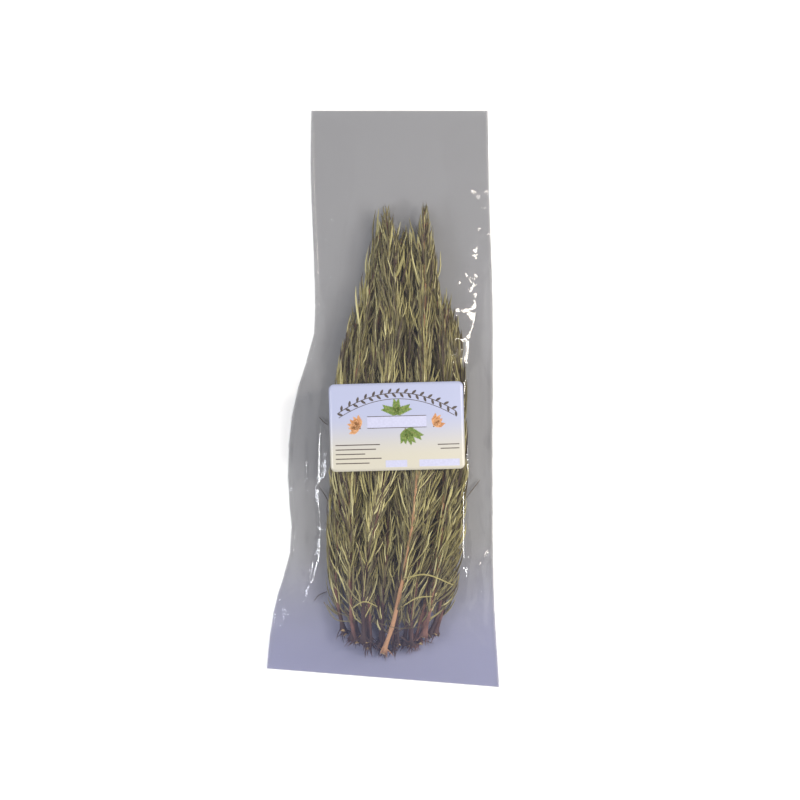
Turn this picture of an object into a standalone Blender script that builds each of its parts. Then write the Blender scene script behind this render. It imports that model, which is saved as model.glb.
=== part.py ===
"""Dried rosemary bundle, packed in a clear gusseted film bag with a plain label.

The bag lies on its back panel, on the plane z = 0. +Y runs from the cut stems
to the tips, +X to the right as seen from above, and +Z up through the bundle.
The origin is under the middle of the bag. All sizes are in metres.

Each sprig is a woody stem and the leaves round it. The needles of a sprig are
held here by one closed spindle, bored for the stem, that gives their true
length, spread and place. The sprigs lie in four layers, each layer split into
columns that follow the narrowing of the bundle, so none runs into another.
"""

import math

import bmesh
import bpy
import numpy as np

MM = 0.001

# Bag: one gusseted tube of film, welded at the foot and at the head.
HEAD_Y = 217.0 * MM
FOOT_LEFT_Y = -203.0 * MM
FOOT_RIGHT_Y = -217.0 * MM
LEFT_FOLD = (
    (-217, -88.5), (-203, -87.5), (-159, -82), (-110, -69), (-60, -71.5), (-10, -68),
    (20, -60.5), (40, -53.5), (90, -51.5), (130, -53), (175, -54.5), (217, -54),
)
RIGHT_FOLD = ((-217, 87.5), (-150, 83.5), (-60, 82.3), (80, 82.3), (150, 80), (217, 78.7))
CROWN_HEIGHT = (
    (0, 1.1), (7.5, 1.1), (17, 15.5), (26, 21.5), (45, 28), (75, 34), (120, 36.5), (200, 37),
    (260, 34), (320, 25.5), (365, 17), (400, 7.5), (423, 2.2), (434, 2.0),
)
EDGE_HEIGHT = (
    (0, 1.0), (9, 1.0), (40, 4), (80, 8), (160, 9), (240, 8), (300, 5), (360, 3.2),
    (423, 2.0), (434, 1.9),
)
FILM = 0.3 * MM
GAP = 0.3 * MM
DOME_POWER = 2.6
DOME_ROUNDING = 0.75
BACK_LIFT = 0.4 * MM
BACK_FLAT_SHARE = 0.7
FRONT_GRID = (18, 26)
BACK_GRID = (12, 14)

# Side gussets: a strip folded inwards between the two panels.
GUSSET_START_Y = -120 * MM
GUSSET_END_Y = 204 * MM
GUSSET_DEPTH = ((-120, 4), (-40, 5), (20, 9), (60, 15), (110, 20), (150, 29), (204, 34))
GUSSET_FILM = 0.25 * MM
GUSSET_ROWS = 14
GUSSET_INSET = 1.2 * MM

# Label: paper stuck on the front panel.
LABEL_SIZE = (100 * MM, 65 * MM)
LABEL_CENTRE = (10.5 * MM, -20.5 * MM)
LABEL_TURN = math.radians(1.5)
LABEL_CORNER = 4 * MM
LABEL_PAPER = 0.25 * MM
LABEL_LIFT = 0.65 * MM
LABEL_GRID = (12, 8)

# Bundle: where its middle runs, and half its width, from the butts to the tips.
BUNDLE_MIDDLE = ((-190, 4.5), (-150, 5), (-110, 8.3), (-60, 10.5), (0, 12.8), (60, 14.5), (150, 16.5))
BUNDLE_HALF_WIDTH = (
    (-190, 36), (-166, 42), (-150, 46), (-110, 50.7), (-60, 52), (0, 50.7), (37, 45),
    (75, 38), (112, 30.5), (135, 25), (150, 21),
)
LAYER_PITCH = (
    (-192, 3.7), (-165, 5.4), (-120, 7.7), (-60, 8.1), (20, 7.8), (75, 6.2), (112, 4.9),
    (150, 3.3),
)
BACK_CLEARANCE = 1.2 * MM

# Sprigs: butt, tip, stem and the spindle that the needles fill. TIP_REACH is the y of the
# tips by thousandths of the way out from the bundle's middle: the tips make three plumes.
BUTT_Y = -187 * MM
BUTT_RISE = 12 * MM
TIP_REACH = ((0, 133), (120, 130), (380, 112), (500, 137), (625, 146), (720, 128), (875, 78), (1000, 40))
TIP_JITTER = 14 * MM
STEM_BUTT_RADIUS = 1.7 * MM
STEM_TIP_RADIUS = 0.55 * MM
STEM_SHARE = 0.95
BARE_STEM = 26 * MM
SPINDLE_HALF_WIDTH = 5.9 * MM
SPINDLE_HALF_HEIGHT = 3.7 * MM
SPINDLE_WALL = 0.55 * MM
ROOM_SHARE = 0.93
SPINDLE_SIDES = 8
BORE_GAP = 0.3 * MM
BORE_END_SHARE = 0.003
PATH_POINTS = 8

# Layers from the back panel up: columns, share of the bundle's width, sway and its phase.
LAYERS = (
    {"columns": 8, "share": 1.0, "sway": 1.6 * MM, "phase": 0.4},
    {"columns": 8, "share": 0.97, "sway": 2.0 * MM, "phase": 2.6},
    {"columns": 6, "share": 0.80, "sway": 1.8 * MM, "phase": 4.4},
)
SWAY_LENGTH = 260 * MM

# The two sprigs laid across the top, as offsets from the bundle's middle.
TOP_SPRIGS = (
    ((-190, -22), (-120, -17), (-49, -10), (20, -8), (80, -10.5), (147, -13.5)),
    ((-190, -3.5), (-120, 10.5), (-49, 15.5), (20, 17.5), (80, 16), (147, 13.5)),
)
TOP_TIP_Y = (144 * MM, 147 * MM)
TOP_BUTT_Y = (-181 * MM, -189 * MM)

FILM_COLOUR = (0.62, 0.63, 0.66, 0.35)
PAPER_COLOUR = (0.86, 0.86, 0.92, 1)
BARK_COLOUR = (0.27, 0.15, 0.09, 1)
NEEDLE_COLOUR = (0.28, 0.28, 0.13, 1)


def through(stations):
    """A smooth curve through stations given in millimetres, as a function in metres."""
    at, value = np.array(stations, float).T * MM
    slope = np.gradient(value, at)

    def curve(position):
        position = min(max(position, at[0]), at[-1])
        i = min(int(np.searchsorted(at, position, side="right")) - 1, len(at) - 2)
        span = at[i + 1] - at[i]
        t = (position - at[i]) / span
        rise = value[i + 1] - value[i]
        start, end = slope[i] * span, slope[i + 1] * span
        return float(
            value[i] + start * t + (3 * rise - 2 * start - end) * t**2
            + (start + end - 2 * rise) * t**3
        )

    return curve


left_fold = through(LEFT_FOLD)
right_fold = through(RIGHT_FOLD)
crown_height = through(CROWN_HEIGHT)
edge_height = through(EDGE_HEIGHT)
gusset_depth = through(GUSSET_DEPTH)
bundle_middle = through(BUNDLE_MIDDLE)
bundle_half_width = through(BUNDLE_HALF_WIDTH)
layer_pitch = through(LAYER_PITCH)
tip_reach = through(TIP_REACH)


def foot_y(across):
    """The welded foot runs at a slant: its y at a place from -1, left, to 1, right."""
    return FOOT_LEFT_Y + (FOOT_RIGHT_Y - FOOT_LEFT_Y) * (across + 1) / 2


def row_share(step):
    """The rows of a panel lie closer together near the two welds."""
    return 0.3 * (1 - math.cos(math.pi * step)) + 0.4 * step


def bag_point(across, along):
    """x and y at a place across the bag, -1 to 1, and along it, 0 at the foot to 1."""
    y = foot_y(across) + (HEAD_Y - foot_y(across)) * along
    x = left_fold(y) + (right_fold(y) - left_fold(y)) * (across + 1) / 2
    return x, y


def front_height(across, along):
    """Height of the front panel's film: a dome over the bundle, flat at the two welds."""
    run = along * (HEAD_Y - FOOT_RIGHT_Y)
    dome = max(0.0, 1 - abs(across) ** DOME_POWER) ** DOME_ROUNDING
    return edge_height(run) + (crown_height(run) - edge_height(run)) * dome


def front_height_at(x, y):
    """Height of the front panel over a point of the table."""
    across = 2 * (x - left_fold(y)) / (right_fold(y) - left_fold(y)) - 1
    along = (y - foot_y(across)) / (HEAD_Y - foot_y(across))
    return front_height(across, along)


def new_material(name, colour, roughness, alpha=1.0):
    """A plain Principled material."""
    material = bpy.data.materials.new(name)
    material.use_nodes = True
    shader = material.node_tree.nodes["Principled BSDF"]
    shader.inputs["Base Color"].default_value = colour
    shader.inputs["Roughness"].default_value = roughness
    shader.inputs["Alpha"].default_value = alpha
    return material


def new_collection(name):
    """A collection linked to the scene."""
    collection = bpy.data.collections.new(name)
    bpy.context.scene.collection.children.link(collection)
    return collection


def sheet(name, grid, place, thickness, offset, material, collection):
    """A thin sheet: a grid whose points are placed by place(across, along), made solid."""
    mesh = bpy.data.meshes.new(name)
    form = bmesh.new()
    bmesh.ops.create_grid(form, x_segments=grid[0], y_segments=grid[1], size=1)
    for vert in form.verts:
        vert.co = place(vert.co.x, (vert.co.y + 1) / 2)
    bmesh.ops.recalc_face_normals(form, faces=form.faces)
    if form.faces[:][0].normal.z < 0:
        bmesh.ops.reverse_faces(form, faces=form.faces)
    form.to_mesh(mesh)
    form.free()
    mesh.materials.append(material)
    panel = bpy.data.objects.new(name, mesh)
    collection.objects.link(panel)
    solid = panel.modifiers.new("thickness", "SOLIDIFY")
    solid.thickness = thickness
    solid.offset = offset
    return panel


def build_front_panel(material, collection):
    """The front panel, domed over the bundle."""

    def place(across, step):
        along = row_share(step)
        return (*bag_point(across, along), front_height(across, along))

    sheet("bag_front_film", FRONT_GRID, place, FILM, 1, material, collection)


def build_back_panel(material, collection):
    """The back panel, flat on the table, with its side folds a little lifted."""

    def place(across, step):
        beyond_flat = max(0.0, abs(across) - BACK_FLAT_SHARE) / (1 - BACK_FLAT_SHARE)
        return (*bag_point(across, row_share(step)), BACK_LIFT * beyond_flat**2)

    sheet("bag_back_film", BACK_GRID, place, FILM, 1, material, collection)


def build_gusset(name, side, material, collection):
    """A side gusset: a strip from the front panel's fold, in to its own fold, and back out."""

    def place(across, along):
        y = GUSSET_START_Y + (GUSSET_END_Y - GUSSET_START_Y) * along
        fold = left_fold(y) if side < 0 else right_fold(y)
        run = y - FOOT_RIGHT_Y
        low = BACK_LIFT + FILM + GAP
        high = edge_height(run) - GAP - GUSSET_FILM
        height = low + (high - low) * (across + 1) / 2
        inset = GUSSET_INSET + gusset_depth(y) * (1 - abs(across))
        return (fold - side * inset, y, height)

    sheet(name, (2, GUSSET_ROWS), place, GUSSET_FILM, 0, material, collection)


def build_label(material, collection, helpers):
    """The label: a paper sheet that follows the front panel, cut to round corners."""
    width, height = LABEL_SIZE
    bleed = 3 * MM
    cos, sin = math.cos(LABEL_TURN), math.sin(LABEL_TURN)

    def place(across, along):
        right = across * (width / 2 + bleed)
        up = (2 * along - 1) * (height / 2 + bleed)
        x = LABEL_CENTRE[0] + right * cos - up * sin
        y = LABEL_CENTRE[1] + right * sin + up * cos
        return (x, y, front_height_at(x, y) + FILM + LABEL_LIFT)

    label = sheet("label", LABEL_GRID, place, LABEL_PAPER, 1, material, collection)
    depth = 80 * MM
    bpy.ops.mesh.primitive_cube_add(size=1, location=(*LABEL_CENTRE, 30 * MM))
    die = bpy.context.object
    die.name = "label_die"
    die.rotation_euler.z = LABEL_TURN
    die.scale = (width, height, depth)
    bpy.ops.object.transform_apply(location=False, rotation=False, scale=True)
    upright = [edge for edge in die.data.edges if upright_edge(die.data, edge, depth)]
    weight = die.data.attributes.new("bevel_weight_edge", "FLOAT", "EDGE")
    for edge in upright:
        weight.data[edge.index].value = 1
    rounding = die.modifiers.new("corners", "BEVEL")
    rounding.limit_method = "WEIGHT"
    rounding.width = LABEL_CORNER
    rounding.segments = 4
    hide_helper(die, helpers)
    cut = label.modifiers.new("die cut", "BOOLEAN")
    cut.operation = "INTERSECT"
    cut.object = die


def upright_edge(mesh, edge, depth):
    """True for an edge that runs along z through the whole depth."""
    start, end = (mesh.vertices[i].co for i in edge.vertices)
    return abs(abs(start.z - end.z) - depth) < MM


def hide_helper(helper, helpers):
    """Moves a cutter or guide to the helpers' collection, shown as a wire and not rendered."""
    for collection in list(helper.users_collection):
        collection.objects.unlink(helper)
    helpers.objects.link(helper)
    helper.hide_render = True
    helper.display_type = "WIRE"


def rod_curve(name, path, radii, bevel_resolution, profile=None):
    """A filled rod along a path: round, or with a profile's section, scaled at each point."""
    curve = bpy.data.curves.new(name, "CURVE")
    curve.dimensions = "3D"
    curve.twist_mode = "Z_UP"
    curve.use_fill_caps = True
    curve.bevel_resolution = bevel_resolution
    if profile is None:
        curve.bevel_depth = 1.0
    else:
        curve.bevel_mode = "OBJECT"
        curve.bevel_object = profile
    spline = curve.splines.new("POLY")
    spline.points.add(len(path) - 1)
    for point, place, radius in zip(spline.points, path, radii):
        point.co = (*place, 1)
        point.radius = radius
    return bpy.data.objects.new(name, curve)


def meshed(rod, material, collection):
    """The rod as a mesh with its caps welded on, in place of the curve."""
    bpy.context.scene.collection.objects.link(rod)
    graph = bpy.context.evaluated_depsgraph_get()
    mesh = bpy.data.meshes.new_from_object(rod.evaluated_get(graph))
    form = bmesh.new()
    form.from_mesh(mesh)
    bmesh.ops.remove_doubles(form, verts=form.verts, dist=0.01 * MM)
    bmesh.ops.recalc_face_normals(form, faces=form.faces)
    form.to_mesh(mesh)
    form.free()
    name = rod.name
    bpy.data.objects.remove(rod)
    solid = bpy.data.objects.new(name, mesh)
    if material:
        mesh.materials.append(material)
    mesh.shade_smooth()
    collection.objects.link(solid)
    return solid


def spindle_profile(helpers):
    """The oval section of a sprig's needles, as a closed outline for rod_curve."""
    outline = bpy.data.curves.new("spindle_profile", "CURVE")
    outline.dimensions = "2D"
    spline = outline.splines.new("POLY")
    spline.points.add(SPINDLE_SIDES - 1)
    spline.use_cyclic_u = True
    for i, point in enumerate(spline.points):
        turn = 2 * math.pi * (i + 0.5) / SPINDLE_SIDES
        point.co = (
            SPINDLE_HALF_WIDTH * math.cos(turn), SPINDLE_HALF_HEIGHT * math.sin(turn), 0, 1,
        )
    profile = bpy.data.objects.new("spindle_profile", outline)
    helpers.objects.link(profile)
    profile.hide_render = True
    profile.display_type = "WIRE"
    return profile


def fullness(share):
    """How full the needles are along a sprig: quickly full above the bare stem, thin at the tip."""
    return 0.28 + 0.72 * min(1.0, share / 0.18) ** 0.7 * (1 - share**3.2)


class Sprig:
    """One sprig: its path from butt to tip, its stem and the spindle of its needles."""

    def __init__(self, number, layer, x_at, butt_y, tip_y, half_room_at):
        self.name = f"sprig_{number:02d}"
        self.layer = layer
        self.x_at = x_at
        self.butt_y = butt_y
        self.tip_y = tip_y
        self.half_room_at = half_room_at

    def point(self, share):
        """The stem's middle at a share of the way from butt to tip."""
        y = self.butt_y + (self.tip_y - self.butt_y) * share
        z = FILM + BACK_CLEARANCE + layer_pitch(y) * (self.layer + 0.5)
        return (self.x_at(y), y, z)

    def stem_radius(self, share):
        """The stem thins from the butt to the tip."""
        return STEM_BUTT_RADIUS + (STEM_TIP_RADIUS - STEM_BUTT_RADIUS) * share**0.8

    def spindle_scale(self, share, bare_share):
        """The spindle's size at a share, as a part of its full section."""
        y = self.point(share)[1]
        room_across = ROOM_SHARE * self.half_room_at(y) / SPINDLE_HALF_WIDTH
        room_up = ROOM_SHARE * layer_pitch(y) / 2 / SPINDLE_HALF_HEIGHT
        full = min(room_across, room_up, 1.0)
        wanted = full * fullness((share - bare_share) / (1 - bare_share))
        round_stem = (self.stem_radius(share) + BORE_GAP + SPINDLE_WALL) / SPINDLE_HALF_HEIGHT
        beyond_stem = share > STEM_SHARE + 0.02
        return wanted if beyond_stem else max(wanted, min(round_stem, full))

    def build(self, bark, needles, profile, collection, helpers):
        """Makes the stem and the bored spindle round it."""
        bare_share = BARE_STEM / (self.tip_y - self.butt_y)
        stem_shares = np.linspace(0, STEM_SHARE, PATH_POINTS)
        stem_path = [self.point(share) for share in stem_shares]
        stem_radii = [self.stem_radius(share) for share in stem_shares]
        meshed(rod_curve(f"{self.name}_stem", stem_path, stem_radii, 1), bark, collection)

        bore_path = stem_path[:-1] + [self.point(STEM_SHARE + BORE_END_SHARE)]
        bore_radii = [radius + BORE_GAP for radius in stem_radii]
        bore = meshed(rod_curve(f"{self.name}_bore", bore_path, bore_radii, 1), None, helpers)
        hide_helper(bore, helpers)

        shares = np.linspace(bare_share, 1, PATH_POINTS)
        path = [self.point(share) for share in shares]
        scales = [self.spindle_scale(share, bare_share) for share in shares]
        rod = rod_curve(f"{self.name}_leaves", path, scales, 0, profile)
        leaves = meshed(rod, needles, collection)
        bored = leaves.modifiers.new("stem bore", "BOOLEAN")
        bored.operation = "DIFFERENCE"
        bored.object = bore


def layer_sprigs(first_number, layer, spec, rng):
    """The sprigs of one layer, side by side in columns that narrow with the bundle."""
    columns = spec["columns"]
    sprigs = []
    for column in range(columns):
        across = (2 * column + 1) / columns - 1

        def x_at(y, across=across):
            turn = 2 * math.pi * y / SWAY_LENGTH + spec["phase"]
            width = bundle_half_width(y) / bundle_half_width(0)
            sway = spec["sway"] * math.sin(turn) * width
            return bundle_middle(y) + spec["share"] * bundle_half_width(y) * across + sway

        def half_room_at(y):
            return spec["share"] * bundle_half_width(y) / columns

        butt_y = BUTT_Y + BUTT_RISE * across**2 + rng.uniform(-3, 5) * MM
        tip_y = tip_reach(abs(across)) - rng.uniform(0, 1) * TIP_JITTER
        number = first_number + column
        sprigs.append(Sprig(number, layer, x_at, butt_y, tip_y, half_room_at))
    return sprigs


def top_sprigs(first_number):
    """The sprigs laid across the top of the bundle."""
    sprigs = []
    for i, offsets in enumerate(TOP_SPRIGS):
        offset_at = through(offsets)

        def x_at(y, offset_at=offset_at):
            return bundle_middle(y) + offset_at(y)

        def half_room_at(y):
            return SPINDLE_HALF_WIDTH

        number = first_number + i
        layer = len(LAYERS)
        sprigs.append(Sprig(number, layer, x_at, TOP_BUTT_Y[i], TOP_TIP_Y[i], half_room_at))
    return sprigs


def main():
    """Builds the bag, its label and the sprigs inside."""
    for leftover in list(bpy.data.objects):
        bpy.data.objects.remove(leftover)
    parts = new_collection("rosemary_bundle")
    helpers = new_collection("cutters")
    film = new_material("film", FILM_COLOUR, 0.08, FILM_COLOUR[3])
    paper = new_material("paper", PAPER_COLOUR, 0.45)
    bark = new_material("bark", BARK_COLOUR, 0.75)
    needles = new_material("needles", NEEDLE_COLOUR, 0.65)

    build_back_panel(film, parts)
    build_front_panel(film, parts)
    build_gusset("bag_gusset_left", -1, film, parts)
    build_gusset("bag_gusset_right", 1, film, parts)
    build_label(paper, parts, helpers)

    rng = np.random.default_rng(7)
    sprigs = []
    for layer, spec in enumerate(LAYERS):
        sprigs += layer_sprigs(len(sprigs) + 1, layer, spec, rng)
    sprigs += top_sprigs(len(sprigs) + 1)
    profile = spindle_profile(helpers)
    for sprig in sprigs:
        sprig.build(bark, needles, profile, parts, helpers)


main()
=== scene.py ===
"""The looks of a dried rosemary bundle in a clear film bag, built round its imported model.

Each sprig's stem and needles are grown along the line of its packed stem. The bag is one
closed tube of film, lofted over the bundle, creased, and welded at its head and foot. The
label is a sheet of paper that presses the film flat where it sticks.
"""

import logging
import math
from collections.abc import Callable, Sequence
from dataclasses import dataclass, field
from enum import Enum, IntEnum

import bmesh
import bpy
import numpy as np
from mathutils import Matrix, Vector
from mathutils.bvhtree import BVHTree


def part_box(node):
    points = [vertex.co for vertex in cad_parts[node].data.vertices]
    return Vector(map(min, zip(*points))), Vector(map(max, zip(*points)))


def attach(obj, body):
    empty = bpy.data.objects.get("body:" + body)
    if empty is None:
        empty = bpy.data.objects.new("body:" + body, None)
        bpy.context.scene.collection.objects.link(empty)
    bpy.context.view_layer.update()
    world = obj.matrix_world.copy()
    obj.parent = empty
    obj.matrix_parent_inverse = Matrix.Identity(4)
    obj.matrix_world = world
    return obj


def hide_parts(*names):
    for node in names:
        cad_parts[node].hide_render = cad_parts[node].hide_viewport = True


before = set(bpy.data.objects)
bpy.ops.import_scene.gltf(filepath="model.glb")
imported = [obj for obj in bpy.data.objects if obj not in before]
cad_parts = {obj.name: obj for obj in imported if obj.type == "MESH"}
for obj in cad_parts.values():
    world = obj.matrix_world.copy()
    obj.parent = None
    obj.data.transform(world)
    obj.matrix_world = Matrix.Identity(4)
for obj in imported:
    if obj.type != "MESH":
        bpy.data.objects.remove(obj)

MM = 0.001
BODY = "root"
log = logging.getLogger("rosemary")

Colour = tuple[float, float, float, float]
Tree = bpy.types.NodeTree
Socket = bpy.types.NodeSocket


def linear(code: str) -> Colour:
    """Turns an sRGB hex code into linear light.

    Args:
        code: Six hex digits, such as "8f8a55".

    Returns:
        Red, green, blue and an alpha of 1.
    """
    parts = [int(code[i : i + 2], 16) / 255 for i in (0, 2, 4)]
    light = [p / 12.92 if p <= 0.04045 else ((p + 0.055) / 1.055) ** 2.4 for p in parts]
    return (*light, 1.0)


def add(
    tree: Tree, kind: str, settings: dict | None = None, links: dict | None = None
) -> bpy.types.Node:
    """Adds a node with its settings and links.

    Args:
        tree: The node tree it goes in.
        kind: The node's type.
        settings: Values by socket name or number, or by the node's own property name.
        links: Output sockets by the name or number of the input they feed.

    Returns:
        The new node.
    """
    node = tree.nodes.new(kind)
    for name, value in (settings or {}).items():
        if isinstance(name, int) or name in node.inputs:
            node.inputs[name].default_value = value
        else:
            setattr(node, name, value)
    for name, source in (links or {}).items():
        tree.links.new(source, node.inputs[name])
    return node


def new_material(name: str) -> tuple[bpy.types.Material, Tree, bpy.types.Node]:
    """A material with an empty tree and its output node."""
    material = bpy.data.materials.new(name)
    material.use_nodes = True
    material.node_tree.nodes.clear()
    output = add(material.node_tree, "ShaderNodeOutputMaterial")
    return material, material.node_tree, output


def attribute(tree: Tree, name: str) -> bpy.types.Node:
    """Reads an attribute stored on the mesh."""
    return add(tree, "ShaderNodeAttribute", {"attribute_name": name})


def object_place(tree: Tree) -> Socket:
    """Places in Object coordinates."""
    return add(tree, "ShaderNodeTexCoord").outputs["Object"]


def split(tree: Tree, vector: Socket) -> bpy.types.Node:
    """Splits a vector into its X, Y and Z."""
    return add(tree, "ShaderNodeSeparateXYZ", links={"Vector": vector})


def maths(tree: Tree, operation: str, links: dict, settings: dict | None = None) -> Socket:
    """One step of arithmetic."""
    chosen = {"operation": operation, **(settings or {})}
    return add(tree, "ShaderNodeMath", chosen, links).outputs[0]


def noise(tree: Tree, size_mm: float, place: Socket, settings: dict | None = None) -> Socket:
    """Noise with features of about a size in millimetres."""
    chosen = {"Scale": 1 / (size_mm * MM), **(settings or {})}
    return add(tree, "ShaderNodeTexNoise", chosen, {"Vector": place}).outputs["Fac"]


def fitted(
    tree: Tree, value: Socket, taken: tuple[float, float], given: tuple[float, float] = (0.0, 1.0),
    kind: str = "LINEAR",
) -> Socket:
    """Maps a value from one range to another.

    Args:
        tree: The node tree.
        value: What is mapped.
        taken: The range it is read over.
        given: What the ends of that range become.
        kind: How it runs between the ends.

    Returns:
        The mapped value, held within the given range.
    """
    settings = {
        "interpolation_type": kind, "From Min": taken[0], "From Max": taken[1],
        "To Min": given[0], "To Max": given[1],
    }
    return add(tree, "ShaderNodeMapRange", settings, {"Value": value}).outputs[0]


def mixed(tree: Tree, share: Socket, colour: Socket, code: str) -> Socket:
    """A colour mixed towards a hex colour by a share."""
    settings = {"data_type": "RGBA", "B": linear(code)}
    return add(tree, "ShaderNodeMix", settings, {"Factor": share, "A": colour}).outputs[2]


def ramped(tree: Tree, value: Socket, stops: Sequence[tuple[float, str]]) -> Socket:
    """Reads a colour off a ramp.

    Args:
        tree: The node tree.
        value: Where on the ramp, from 0 to 1.
        stops: Place and hex colour of each stop, in order.

    Returns:
        The colour.
    """
    node = add(tree, "ShaderNodeValToRGB", links={"Fac": value})
    elements = node.color_ramp.elements
    while len(elements) < len(stops):
        elements.new(0.5)
    for element, (place, code) in zip(elements, stops):
        element.position = place
        element.color = linear(code)
    return node.outputs["Color"]


def bumped(tree: Tree, height: Socket, strength: float, depth_mm: float) -> Socket:
    """A normal bumped by a height."""
    settings = {"Strength": strength, "Distance": depth_mm * MM}
    return add(tree, "ShaderNodeBump", settings, {"Height": height}).outputs["Normal"]


def skin(tree: Tree, output: bpy.types.Node, settings: dict, links: dict) -> None:
    """Ends a tree with a Principled surface."""
    made = add(tree, "ShaderNodeBsdfPrincipled", settings, links)
    tree.links.new(made.outputs[0], output.inputs["Surface"])


def blend(tree: Tree, share: Socket, first: Socket, second: Socket) -> Socket:
    """Two shaders mixed by a share."""
    return add(tree, "ShaderNodeMixShader", links={0: share, 1: first, 2: second}).outputs[0]


# ---------------------------------------------------------------- finishes


@dataclass(frozen=True)
class DriedLeaf:
    """Air-dried rosemary leaf: leathery, its margins rolled under, matte with a waxy bloom.

    The tint of a leaf runs from brown, where it has died off, through olive to straw. Its
    underside is felted and paler, and its foot is browner than its blade.
    """

    name: str = "dried_rosemary_leaf"
    stops: tuple[tuple[float, str], ...] = (
        (0.0, "412c1d"), (0.14, "53402a"), (0.34, "67603f"), (0.56, "8f8455"), (0.78, "b8ad6c"),
        (1.0, "dfd69c"),
    )
    foot: str = "684c2e"
    felt: str = "999176"
    vein: str = "504a2d"
    mottle_mm: float = 1.6
    roughness: float = 0.52

    def material(self) -> bpy.types.Material:
        """Builds the material from the leaf and tint attributes."""
        material, tree, output = new_material(self.name)
        tint = attribute(tree, "tint").outputs["Fac"]
        parts = split(tree, attribute(tree, "leaf").outputs["Vector"])
        mottle = noise(tree, self.mottle_mm, object_place(tree), {"Detail": 2.0})
        uneven = maths(tree, "MULTIPLY_ADD", {0: mottle}, {1: 0.3, 2: -0.15})
        blade = ramped(tree, maths(tree, "ADD", {0: tint, 1: uneven}), self.stops)
        off_middle = maths(tree, "ABSOLUTE", {0: parts.outputs["X"]})
        vein = fitted(tree, off_middle, (0.0, 0.32), (0.45, 0.0))
        below = fitted(tree, parts.outputs["Z"], (-0.2, -0.7), (0.0, 0.6))
        at_foot = fitted(tree, parts.outputs["Y"], (0.0, 0.16), (0.75, 0.0))
        veined = mixed(tree, vein, blade, self.vein)
        felted = mixed(tree, below, veined, self.felt)
        whole = mixed(tree, at_foot, felted, self.foot)
        skin(
            tree, output,
            {"Roughness": self.roughness, "IOR": 1.45, "Sheen Weight": 0.12, "Sheen Roughness": 0.5},
            {"Base Color": whole, "Normal": bumped(tree, mottle, 0.35, 0.15)},
        )
        return material


@dataclass(frozen=True)
class StemBark:
    """Bark of a dried rosemary stem: thin, flaking along the stem, red-brown over tan.

    Real flakes are finer than the streaks here, which are as coarse as a whole-bag view needs.
    """

    name: str = "rosemary_bark"
    dark: str = "3f2c24"
    red: str = "80594a"
    tan: str = "bd906a"
    streak_mm: float = 1.5
    patch_mm: float = 7.0
    roughness: float = 0.72

    def material(self) -> bpy.types.Material:
        """Builds the material from the grain and tint attributes."""
        material, tree, output = new_material(self.name)
        grain = attribute(tree, "grain").outputs["Vector"]
        tint = attribute(tree, "tint").outputs["Fac"]
        drawn = add(tree, "ShaderNodeMapping", {"Scale": (1.0, 1.0, 0.1)}, {"Vector": grain})
        streaks = noise(
            tree, self.streak_mm, drawn.outputs["Vector"], {"Detail": 4.0, "Roughness": 0.6}
        )
        patches = noise(tree, self.patch_mm, grain, {"Detail": 2.0})
        lifted = maths(tree, "MULTIPLY_ADD", {0: patches, 2: tint}, {1: 0.55})
        level = maths(tree, "MULTIPLY_ADD", {0: streaks, 2: lifted}, {1: 0.9})
        colour = ramped(
            tree, fitted(tree, level, (0.45, 1.45)),
            ((0.1, self.dark), (0.5, self.red), (0.9, self.tan)),
        )
        skin(
            tree, output, {"Roughness": self.roughness, "IOR": 1.45},
            {"Base Color": colour, "Normal": bumped(tree, streaks, 0.8, 0.35)},
        )
        return material


@dataclass(frozen=True)
class CutWood:
    """The torn or cut butt of a stem: pale wood with a darker pith, fibrous and dull."""

    name: str = "rosemary_cut_wood"
    pale: str = "d9bd84"
    brown: str = "8c6238"
    fibre_mm: float = 0.8

    def material(self) -> bpy.types.Material:
        """Builds the material on Object coordinates."""
        material, tree, output = new_material(self.name)
        fibres = noise(tree, self.fibre_mm, object_place(tree), {"Detail": 3.0})
        colour = ramped(tree, fibres, ((0.35, self.brown), (0.6, self.pale)))
        skin(
            tree, output, {"Roughness": 0.8, "IOR": 1.45},
            {"Base Color": colour, "Normal": bumped(tree, fibres, 0.7, 0.3)},
        )
        return material


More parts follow.
